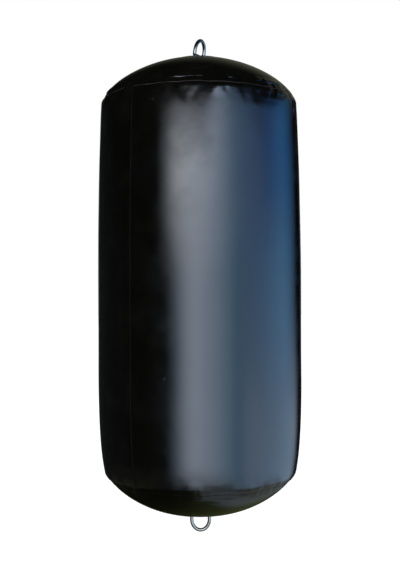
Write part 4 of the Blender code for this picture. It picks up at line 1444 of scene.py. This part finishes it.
def ring_bead_mesh(label, end, count):
    """A round bead in the corner between the wall's cut edge and the dome."""
    _, inner_edge, _, _ = lap_angles()
    angles = inner_edge + 2 * pi * np.arange(count) / count
    sides = 8
    # the lower bead is thicker so that its near-black tone shows as a line of painted shade along the seam
    radius = (0.7 if end is TOP else 0.8) * MM
    rise, out_of_edge = 0.75 * MM, 0.35 * MM
    base, level = meridian_point(end, end.seam_height)
    out, up = outward(end, base, level)
    centre = (base + out * rise - up * out_of_edge, level + up * rise + out * out_of_edge)
    rows = []
    for k in range(sides):
        angle = 2 * pi * k / sides
        rows.append((centre[0] + radius * cos(angle), centre[1] + radius * sin(angle)))
    sines, cosines = np.sin(angles), -np.cos(angles)
    points = np.array([np.stack([r * sines, r * cosines, end.sign * h + 0 * sines], -1) for r, h in rows])
    normal = np.stack([out * sines, out * cosines, end.sign * up + 0 * sines], -1)
    normals = np.array([normal] * sides)
    seams = np.zeros((sides, count))
    faces = grid_faces(0, sides, count, True)
    around = list(range(count)) + [0]
    last = (sides - 1) * count
    faces += strip_faces([last + i for i in around], around)
    cloth = np.zeros((sides * count, 2))
    return sheet_mesh(f"{label}_seam_bead", [(points, normals, seams)], faces, cloth)


def lap_bead_mesh():
    """A round bead beside the lap's free edge, from seam to seam."""
    free, _, _, _ = lap_angles()
    sides = 8
    radius = 0.6 * MM
    side_step = 0.15 * MM
    short_of_seam = 1 * MM
    step = 6 * MM
    sections = []
    for end, order in ((BOTTOM, 1), (TOP, -1)):
        first = end.seam_height - short_of_seam
        heights = [first - step * k for k in range(round(first / step))]
        sections += [(end, height) for height in heights][::order]
    points, normals, seams = [], [], []
    for end, height in sections:
        base, level = meridian_point(end, height)
        out, up = outward(end, base, level)
        seam = end.seam_height - height
        lift = GAP + FABRIC + radius + skirt_mark(seam)
        ring = []
        for k in range(sides):
            angle = 2 * pi * k / sides
            rise = lift + radius * sin(angle)
            side = free + (side_step + radius * cos(angle)) / CHAMBER_RADIUS
            reach = base + out * rise
            ring.append((reach * sin(side), -reach * cos(side), end.sign * (level + up * rise)))
        points.append(ring)
        normals.append([(out * sin(free), -out * cos(free), end.sign * up)] * sides)
        seams.append([seam] * sides)
    arrays = [(np.array(points), np.array(normals), np.array(seams))]
    faces = grid_faces(0, len(points), sides, True)
    last = (len(points) - 1) * sides
    faces += [list(range(sides)), [last + k for k in range(sides)]]
    return sheet_mesh("lap_seam_bead", arrays, faces, np.zeros((len(points) * sides, 2)))


class FENDER_OT_ring_patches(bpy.types.Operator):
    """The round reinforcing patch under each ring, welded on near its rim"""

    bl_idname = "fender.ring_patches"
    bl_label = "Ring patches"
    bl_options = {"REGISTER", "UNDO"}

    def execute(self, context):
        for label, end in (("top", TOP), ("bottom", BOTTOM)):
            mesh = patch_mesh(label, end)
            patch = add_piece(f"{label}_patch", mesh, finish_for("coated_fabric"))
            settle(patch, "chamber", "coated_fabric", f"{label}_ring_patch")
        return {"FINISHED"}


def patch_mesh(label, end):
    """A disc that follows the dome, with a rounded rim and a pressed ring where it was welded."""
    rim = 0.55 * MM
    flat = PATCH_RADIUS - rim
    weld, weld_width, weld_depth = PATCH_RADIUS - 5 * MM, 2.2 * MM, 0.3 * MM
    steps, rim_steps, under_steps = 60, 6, 12
    spots = [(0.0, PATCH_TOP)]
    for k in range(1, steps + 1):
        radius = flat * k / steps
        dip = weld_depth * np.exp(-(((radius - weld) / weld_width) ** 4))
        spots.append((radius, PATCH_TOP - dip))
    for k in range(1, rim_steps + 1):
        angle = pi / 2 - pi * k / rim_steps
        middle = (PATCH_TOP + GAP) / 2
        half = (PATCH_TOP - GAP) / 2
        spots.append((flat + rim * cos(angle), middle + half * sin(angle)))
    spots += [(flat * (1 - k / under_steps), GAP) for k in range(1, under_steps + 1)]
    outline = []
    for radius, lift in spots:
        height = height_at_radius(end, radius)
        out, up = outward(end, radius, height)
        outline.append((max(radius + out * lift, 0) if radius else 0, height + up * lift))
    mesh = lathe(f"{label}_patch", outline, 160)
    write_uv(mesh, "cloth", np.array([vertex.co.to_2d() for vertex in mesh.vertices]))
    mesh.transform(Matrix.Translation(FENDER) @ Matrix.Rotation(0 if end is TOP else pi, 4, "X"))
    return mesh


class FENDER_OT_ring_straps(bpy.types.Operator):
    """The webbing strap over each ring's bar, sewn down by a box and a cross at each tail"""

    bl_idname = "fender.ring_straps"
    bl_label = "Ring straps"
    bl_options = {"REGISTER", "UNDO"}

    def execute(self, context):
        settings = context.scene.fender_fixing
        tree = stitch_tree()
        thread = finish_for("thread")
        for label, end in (("top", TOP), ("bottom", BOTTOM)):
            mesh = strap_mesh(label, end)
            strap = add_piece(f"{label}_strap", mesh, finish_for("webbing"))
            settle(strap, "chamber", "webbing", f"{label}_ring_strap")
            stitches = add_piece(f"{label}_strap_stitches", stitch_lines(label, end))
            run_tree(
                stitches, tree, pitch=settings.stitch_pitch, thread=settings.thread, material=thread
            )
            settle(stitches, "chamber", "webbing")
        return {"FINISHED"}


def strap_path(end):
    """The strap's underside as dense (y, z) points: a tail, over the bar and down again."""
    bar = end.crown + BAR_LIFT
    reach = WIRE / 2 + GAP
    leave = (reach * sin(STRAP_FLANK), bar + reach * cos(STRAP_FLANK))
    lift = PATCH_TOP + GAP
    fall = leave[1] - height_at_radius(end, leave[0]) - lift
    foot = leave[0] + fall / tan(STRAP_FLANK)
    tail_steps, flank_steps, arc_steps = 40, 8, 24
    half = []
    for k in range(tail_steps + 1):
        y = foot + STRAP_TAIL * (1 - k / tail_steps)
        half.append((y, height_at_radius(end, y) + lift))
    low = half[-1][1]
    for k in range(1, flank_steps):
        share = k / flank_steps
        half.append((foot + (leave[0] - foot) * share, low + fall * share))
    angles = [STRAP_FLANK * (1 - 2 * k / arc_steps) for k in range(arc_steps + 1)]
    arc = [(reach * sin(a), bar + reach * cos(a)) for a in angles]
    path = half + arc + [(-y, z) for y, z in reversed(half)]
    # the webbing is too stiff for a sharp turn at its foot
    for _ in range(3):
        inside = zip(path, path[1:], path[2:])
        path[1:-1] = [((a[0] + 2 * b[0] + c[0]) / 4, (a[1] + 2 * b[1] + c[1]) / 4) for a, b, c in inside]
    return path, foot


def path_frames(path):
    """Each point with the direction square to the path, on its upper side."""
    framed = []
    for i, point in enumerate(path):
        before, after = path[max(i - 1, 0)], path[min(i + 1, len(path) - 1)]
        run, rise = after[0] - before[0], after[1] - before[1]
        length = hypot(run, rise)
        framed.append((Vector(point), Vector((rise / length, -run / length))))
    return framed


def strap_section(width, thickness):
    """Points of a flat strip's section, with round selvedges, as (across, up)."""
    round_edge = thickness / 2
    flat = width / 2 - round_edge
    flat_steps, round_steps = 16, 6
    half = [(flat * (1 - 2 * k / flat_steps), 0.0) for k in range(flat_steps + 1)]
    for k in range(1, round_steps):
        angle = pi * k / round_steps
        half.append((-flat - round_edge * sin(angle), round_edge * (1 - cos(angle))))
    return half + [(-across, thickness - up) for across, up in half]


def sweep_strip(name, path, section, place):
    """Sweep a section along a path in the YZ plane, and close its two ends."""
    framed = path_frames(path)
    verts, cloth = [], []
    along = 0.0
    for i, (point, up) in enumerate(framed):
        along += (point - framed[i - 1][0]).length if i else 0.0
        for across, rise in section:
            spot = point + up * rise
            verts.append((across, spot.x, spot.y))
            cloth.append((across, along))
    count = len(section)
    faces = grid_faces(0, len(framed), count, True)
    faces += [list(range(count)), list(range(len(verts) - count, len(verts)))]
    mesh = bpy.data.meshes.new(name)
    mesh.from_pydata(verts, [], faces)
    write_uv(mesh, "cloth", cloth)
    turn_outwards(mesh)
    mesh.transform(place)
    return mesh


def strap_mesh(label, end):
    path, _ = strap_path(end)
    section = strap_section(STRAP_WIDTH, STRAP_THICKNESS)
    return sweep_strip(f"{label}_strap", path, section, strap_frame(end))


def stitch_lines(label, end):
    """Edges on the strap's tails for the stitches to follow: a box with a cross in it."""
    _, foot = strap_path(end)
    margin, foot_margin = 3.2 * MM, 5 * MM
    half = STRAP_WIDTH / 2 - margin
    near, far = foot + foot_margin, foot + STRAP_TAIL - margin
    lift = PATCH_TOP + GAP + STRAP_THICKNESS
    corners = [(-half, near), (half, near), (half, far), (-half, far)]
    runs = [(corners[i], corners[(i + 1) % 4]) for i in range(4)]
    runs += [(corners[0], corners[2]), (corners[1], corners[3])]
    steps = 16
    verts, edges = [], []
    for side in (1, -1):
        for start, stop in runs:
            edges += [(len(verts) + k, len(verts) + k + 1) for k in range(steps)]
            for k in range(steps + 1):
                x, y = (a + (b - a) * k / steps for a, b in zip(start, stop))
                height = height_at_radius(end, y)
                out, up = outward(end, y, height)
                verts.append((x, side * (y + out * lift), height + up * lift))
    mesh = bpy.data.meshes.new(f"{label}_strap_stitches")
    mesh.from_pydata(verts, edges, [])
    mesh.transform(strap_frame(end))
    return mesh


class FENDER_OT_rings(bpy.types.Operator):
    """The two welded D-rings of polished bar"""

    bl_idname = "fender.rings"
    bl_label = "Steel rings"
    bl_options = {"REGISTER", "UNDO"}

    def execute(self, context):
        tree = bar_tree()
        for label, end in (("top", TOP), ("bottom", BOTTOM)):
            ring = add_piece(f"{label}_d_ring", ring_line(label, end))
            run_tree(ring, tree, radius=WIRE / 2, sides=28, material=finish_for("stainless_steel"))
            turn_outwards(ring.data)
            settle(ring, f"{label}_ring", "stainless_steel", f"{label}_ring")
        return {"FINISHED"}


def ring_line(label, end):
    """The ring's centre line as a closed run of edges."""
    straight = RING_HALF_WIDTH - RING_BEND
    shoulder = RING_BEND + RING_LEG
    bend_steps, bow_steps, bar_steps = 8, 48, 6
    right = []
    for k in range(bend_steps + 1):
        angle = pi / 2 * k / bend_steps
        right.append((straight + RING_BEND * sin(angle), RING_BEND * (1 - cos(angle))))
    right.append((RING_HALF_WIDTH, RING_BEND + RING_LEG / 2))
    bow = []
    for k in range(bow_steps + 1):
        angle = pi * k / bow_steps
        bow.append((RING_HALF_WIDTH * cos(angle), shoulder + RING_BOW * sin(angle)))
    line = right + bow + [(-x, z) for x, z in reversed(right)]
    line += [(-straight * (1 - 2 * k / bar_steps), 0.0) for k in range(1, bar_steps)]
    count = len(line)
    mesh = bpy.data.meshes.new(f"{label}_d_ring")
    mesh.from_pydata([(x, 0, z) for x, z in line], [(i, (i + 1) % count) for i in range(count)], [])
    mesh.transform(ring_frame(end))
    return mesh


class FENDER_OT_valve_boot(bpy.types.Operator):
    """The moulded flexible base that is welded round the valve's hole"""

    bl_idname = "fender.valve_boot"
    bl_label = "Valve boot"
    bl_options = {"REGISTER", "UNDO"}

    def execute(self, context):
        boot = add_piece("valve_base", boot_mesh(), finish_for("moulded_vinyl"))
        settle(boot, "chamber", "moulded_vinyl", "valve_boot")
        return {"FINISHED"}


def fabric_height(x, y, tilt):
    """Height of the fabric beside the valve, counted along the valve's axis."""
    low, high = -30 * MM, 10 * MM
    base = height_at_radius(TOP, VALVE_OFFSET)
    for _ in range(30):
        middle = (low + high) / 2
        across = VALVE_OFFSET + y * cos(tilt) + middle * sin(tilt)
        up = base - y * sin(tilt) + middle * cos(tilt)
        if up > height_at_radius(TOP, hypot(x, across)):
            high = middle
        else:
            low = middle
    return low


def boot_mesh():
    """The boot's flange follows the fabric, and thickens smoothly into a flat hub."""
    tilt = atan2(VALVE_AXIS.y, VALVE_AXIS.z)
    shoulder = BOOT_HUB + 2 * MM
    edge = 0.5 * MM
    rib_height, ribs = 0.35 * MM, 3
    under_steps, edge_steps, steps, sides = 6, 4, 16, 120
    # each spot is a radius, a height, and how much of the fabric's own height is added to it
    spots = [(BARREL_HOLE, BOOT_BASE, 0), (BOOT_HUB, BOOT_BASE, 0)]
    for k in range(under_steps + 1):
        spots.append((BOOT_HUB + (BOOT_RADIUS - BOOT_HUB) * k / under_steps, GAP, 1))
    for k in range(1, edge_steps + 1):
        angle = pi / 2 * k / edge_steps
        rise = BOOT_EDGE - edge * (1 - sin(angle))
        spots.append((BOOT_RADIUS - edge * (1 - cos(angle)), GAP + rise, 1))
    for k in range(1, steps):
        share = k / steps
        radius = BOOT_RADIUS - edge + (shoulder - BOOT_RADIUS + edge) * share
        # low weld ribs go round the flange's outer half
        outer_half = share < 0.5
        blend = 0 if outer_half else (2 * share - 1) ** 1.6
        rib = rib_height * max(sin(share * 2 * ribs * pi), 0) if outer_half else 0
        on_fabric = GAP + BOOT_EDGE + (BOOT_SLOPE - BOOT_EDGE) * min(share * 2, 1) + rib
        spots.append((radius, on_fabric * (1 - blend) + BOOT_TOP * blend, 1 - blend))
    spots += [(shoulder, BOOT_TOP, 0), (BARREL_HOLE, BOOT_TOP, 0)]
    rings = []
    for radius, height, share in spots:
        ring = []
        for side in range(sides):
            angle = 2 * pi * side / sides
            x, y = radius * cos(angle), radius * sin(angle)
            base = fabric_height(x, y, tilt) * share if share else 0
            ring.append((x, y, base + height))
        rings.append(ring)
    return skin_rings("valve_base", rings, valve_frame())


class FENDER_OT_valve_body(bpy.types.Operator):
    """The valve's flanged body and the thread on its neck"""

    bl_idname = "fender.valve_body"
    bl_label = "Valve body"
    bl_options = {"REGISTER", "UNDO"}

    def execute(self, context):
        plastic = finish_for("black_plastic")
        housing = add_piece("valve_housing", housing_mesh(), plastic)
        settle(housing, "chamber", "black_plastic", "valve_body")

        base, top = CAP_BASE + 1.0 * MM, NECK_TOP - 1.4 * MM
        thread = add_piece("neck_thread", bpy.data.meshes.new("neck_thread"))
        run_tree(
            thread,
            helix_tree(),
            turns=(top - base) / context.scene.fender_valve.thread_lead,
            radius=NECK_RADIUS - 0.35 * MM,
            height=top - base,
            ridge=0.6 * MM,
            material=plastic,
        )
        turn_outwards(thread.data)
        thread.data.transform(valve_frame() @ Matrix.Translation((0, 0, base)))
        settle(thread, "chamber", "black_plastic")
        return {"FINISHED"}


def housing_mesh():
    """Barrel, flange and neck in one, with the seat at the bore's foot."""
    small, large = 0.4 * MM, 0.9 * MM
    corners = [
        (SEAT_RADIUS, BARREL_END, small),
        (BARREL_RADIUS, BARREL_END, small),
        (BARREL_RADIUS, FLANGE_BASE, 0),
        (FLANGE_RADIUS, FLANGE_BASE, small),
        (FLANGE_RADIUS, FLANGE_TOP, large),
        (NECK_RADIUS, FLANGE_TOP, 0),
        (NECK_RADIUS, NECK_TOP, small),
        (BORE_RADIUS, NECK_TOP, small),
        (BORE_RADIUS, SEAT_TOP, 0),
        (SEAT_RADIUS, SEAT_TOP, small),
    ]
    return lathe("valve_housing", round_corners(corners), 144, valve_frame())


class FENDER_OT_valve_cap(bpy.types.Operator):
    """The screw cap with its grip ribs and the headed pin on top"""

    bl_idname = "fender.valve_cap"
    bl_label = "Valve cap"
    bl_options = {"REGISTER", "UNDO"}

    def execute(self, context):
        settings = context.scene.fender_valve
        cap = add_piece("screw_cap", cap_mesh())
        run_tree(
            cap,
            flute_tree(),
            count=settings.flutes,
            depth=settings.flute_depth,
            material=finish_for("black_plastic"),
        )
        cap.data.transform(valve_frame())
        settle(cap, "cap", "black_plastic", "valve_cap")
        return {"FINISHED"}


def cap_mesh():
    """The cap on its own axis, with a weight on the rows that carry the grip."""
    recess, recess_radius = 0.4 * MM, 15.5 * MM
    corners = [
        (0, PIN_HEAD_TOP, 0),
        (PIN_HEAD_RADIUS, PIN_HEAD_TOP, 0.8 * MM),
        (PIN_HEAD_RADIUS, PIN_HEAD_BASE, 0.25 * MM),
        (PIN_RADIUS, PIN_HEAD_BASE, 0),
        (PIN_RADIUS, CAP_TOP - recess, 0.3 * MM),
        (recess_radius, CAP_TOP - recess, 0.3 * MM),
        (recess_radius + recess, CAP_TOP, 0.3 * MM),
        (CAP_RADIUS, CAP_TOP, 1.6 * MM),
    ]
    outline = round_corners(corners + [(CAP_RADIUS, CAP_BASE, 0)])[:-1]
    side_top = outline[-1][1]
    side_base = CAP_BASE + 0.9 * MM
    outline += [(CAP_RADIUS, side_top + (side_base - side_top) * k / 10) for k in range(1, 11)]
    outline += [
        (CAP_RADIUS - 0.25 * MM, CAP_BASE + 0.2 * MM),
        (CAP_RADIUS - 0.9 * MM, CAP_BASE),
        (CAP_BORE + 0.4 * MM, CAP_BASE),
        (CAP_BORE, CAP_BASE + 0.4 * MM),
        (CAP_BORE, CAP_CEILING),
        (0, CAP_CEILING),
    ]
    mesh = lathe("screw_cap", outline, 288)
    weights = []
    for vertex in mesh.vertices:
        on_side = hypot(vertex.co.x, vertex.co.y) > CAP_RADIUS - 0.05 * MM
        rise = (vertex.co.z - side_base) / (side_top - side_base)
        weights.append(min(1.0, 6 * rise + 0.25, 5 * (1 - rise) + 0.1) if on_side else 0.0)
    mesh.attributes.new("grip", "FLOAT", "POINT").data.foreach_set("value", weights)
    return mesh


class FENDER_OT_leash(bpy.types.Operator):
    """The moulded loop, strip and eye that keep the cap"""

    bl_idname = "fender.leash"
    bl_label = "Cap leash"
    bl_options = {"REGISTER", "UNDO"}

    def execute(self, context):
        leash = leash_piece()
        leash.data.transform(valve_frame())
        leash.data.materials.clear()
        leash.data.materials.append(finish_for("moulded_vinyl"))
        settle(leash, "leash", "moulded_vinyl", "cap_leash")
        return {"FINISHED"}


def soft_washer(name, inner, base):
    """A moulded ring of the leash, with rounded edges."""
    fillet = 0.5 * MM
    outer, top = inner + LEASH_RIM, base + LEASH_THICKNESS
    corners = [(inner, base, fillet), (outer, base, fillet), (outer, top, fillet), (inner, top, fillet)]
    return add_piece(name, lathe(name, round_corners(corners, 3), 96))


def leash_piece():
    """Loop round the neck, strip up the cap's side and eye on its pin, in one."""
    loop_inner = NECK_RADIUS + SLIDE_GAP
    eye_inner = PIN_RADIUS + SLIDE_GAP
    leash = soft_washer("cap_tether", loop_inner, LEASH_LOOP_BASE)
    eye = soft_washer("leash_eye", eye_inner, EYE_BASE)
    corner = LEASH_STAND_OFF
    bend = CAP_RADIUS + LEASH_THICKNESS
    top = EYE_BASE + LEASH_THICKNESS
    sink = LEASH_RIM / 2
    angles = [pi / 2 * k / 12 for k in range(13)]
    path = [(loop_inner + sink, LEASH_LOOP_BASE)]
    path += [(bend + corner * sin(a), LEASH_LOOP_BASE + corner * (1 - cos(a))) for a in angles]
    path += [(bend + corner * cos(a), top - corner * (1 - sin(a))) for a in angles]
    path.append((eye_inner + sink, top))
    path.reverse()
    section = strap_section(LEASH_WIDTH, LEASH_THICKNESS)
    strip = add_piece("leash_strip", sweep_strip("leash_strip", path, section, Matrix.Identity(4)))
    for other in (strip, eye):
        modifier = leash.modifiers.new(other.name, "BOOLEAN")
        modifier.operation = "UNION"
        modifier.object = other
    plain_mesh(leash)
    for other in (strip, eye):
        bpy.data.objects.remove(other, do_unlink=True)
    return leash


class FENDER_OT_spring(bpy.types.Operator):
    """The wire spring that holds the poppet shut"""

    bl_idname = "fender.spring"
    bl_label = "Poppet spring"
    bl_options = {"REGISTER", "UNDO"}

    def execute(self, context):
        coil = add_piece("spring_coil", bpy.data.meshes.new("spring_coil"))
        run_tree(
            coil,
            bpy.data.node_groups.get("Helix") or helix_tree(),
            turns=SPRING_TURNS,
            radius=SPRING_RADIUS,
            height=SPRING_LENGTH - SPRING_WIRE,
            ridge=SPRING_WIRE / 2,
            material=finish_for("spring_steel"),
        )
        turn_outwards(coil.data)
        start = Matrix.Translation((0, 0, SPRING_BASE + SPRING_WIRE / 2))
        coil.data.transform(valve_frame() @ start)
        settle(coil, "chamber", "spring_steel", "poppet_spring")
        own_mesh(coil)
        return {"FINISHED"}


class FENDER_OT_inner_pieces(bpy.types.Operator):
    """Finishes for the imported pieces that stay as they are, inside the chamber and the valve"""

    bl_idname = "fender.inner_pieces"
    bl_label = "Inner pieces"
    bl_options = {"REGISTER", "UNDO"}

    def execute(self, context):
        for part in frame["record"]["subparts"]:
            node = frame["nodes"][part["node"]]
            if not node.hide_render:
                node.data.materials.clear()
                node.data.materials.append(finish_for(part["material_slot"]))
        return {"FINISHED"}


class FENDER_PT_panel(bpy.types.Panel):
    """The fender's pieces and settings"""

    bl_idname = "FENDER_PT_panel"
    bl_label = "Boat fender"
    bl_space_type = "VIEW_3D"
    bl_region_type = "UI"
    bl_category = "Fender"

    def draw(self, context):
        for operator in OPERATORS:
            self.layout.operator(operator.bl_idname)
        for name, group in SETTINGS.items():
            box = self.layout.box()
            for setting in group.__annotations__:
                box.prop(getattr(context.scene, name), setting)


SETTINGS = {
    "fender_chamber": ChamberSettings,
    "fender_fixing": FixingSettings,
    "fender_valve": ValveSettings,
    "fender_stage": StageSettings,
}
OPERATORS = (
    FENDER_OT_stage,
    FENDER_OT_side_wall,
    FENDER_OT_end_panels,
    FENDER_OT_weld_beads,
    FENDER_OT_ring_patches,
    FENDER_OT_ring_straps,
    FENDER_OT_rings,
    FENDER_OT_valve_boot,
    FENDER_OT_valve_body,
    FENDER_OT_valve_cap,
    FENDER_OT_leash,
    FENDER_OT_spring,
    FENDER_OT_inner_pieces,
)


def register():
    for entry in (*SETTINGS.values(), *OPERATORS, FENDER_PT_panel):
        bpy.utils.register_class(entry)
    for name, group in SETTINGS.items():
        setattr(bpy.types.Scene, name, PointerProperty(type=group))


def unregister():
    for name in SETTINGS:
        delattr(bpy.types.Scene, name)
    for entry in (FENDER_PT_panel, *reversed(OPERATORS), *SETTINGS.values()):
        bpy.utils.unregister_class(entry)


def main():
    register()
    bpy.ops.fender.stage()
    bpy.ops.fender.side_wall()
    bpy.ops.fender.end_panels()
    bpy.ops.fender.weld_beads()
    bpy.ops.fender.ring_patches()
    bpy.ops.fender.ring_straps()
    bpy.ops.fender.rings()
    bpy.ops.fender.valve_boot()
    bpy.ops.fender.valve_body()
    bpy.ops.fender.valve_cap()
    bpy.ops.fender.leash()
    bpy.ops.fender.spring()
    bpy.ops.fender.inner_pieces()


if __name__ == "__main__":
    main()
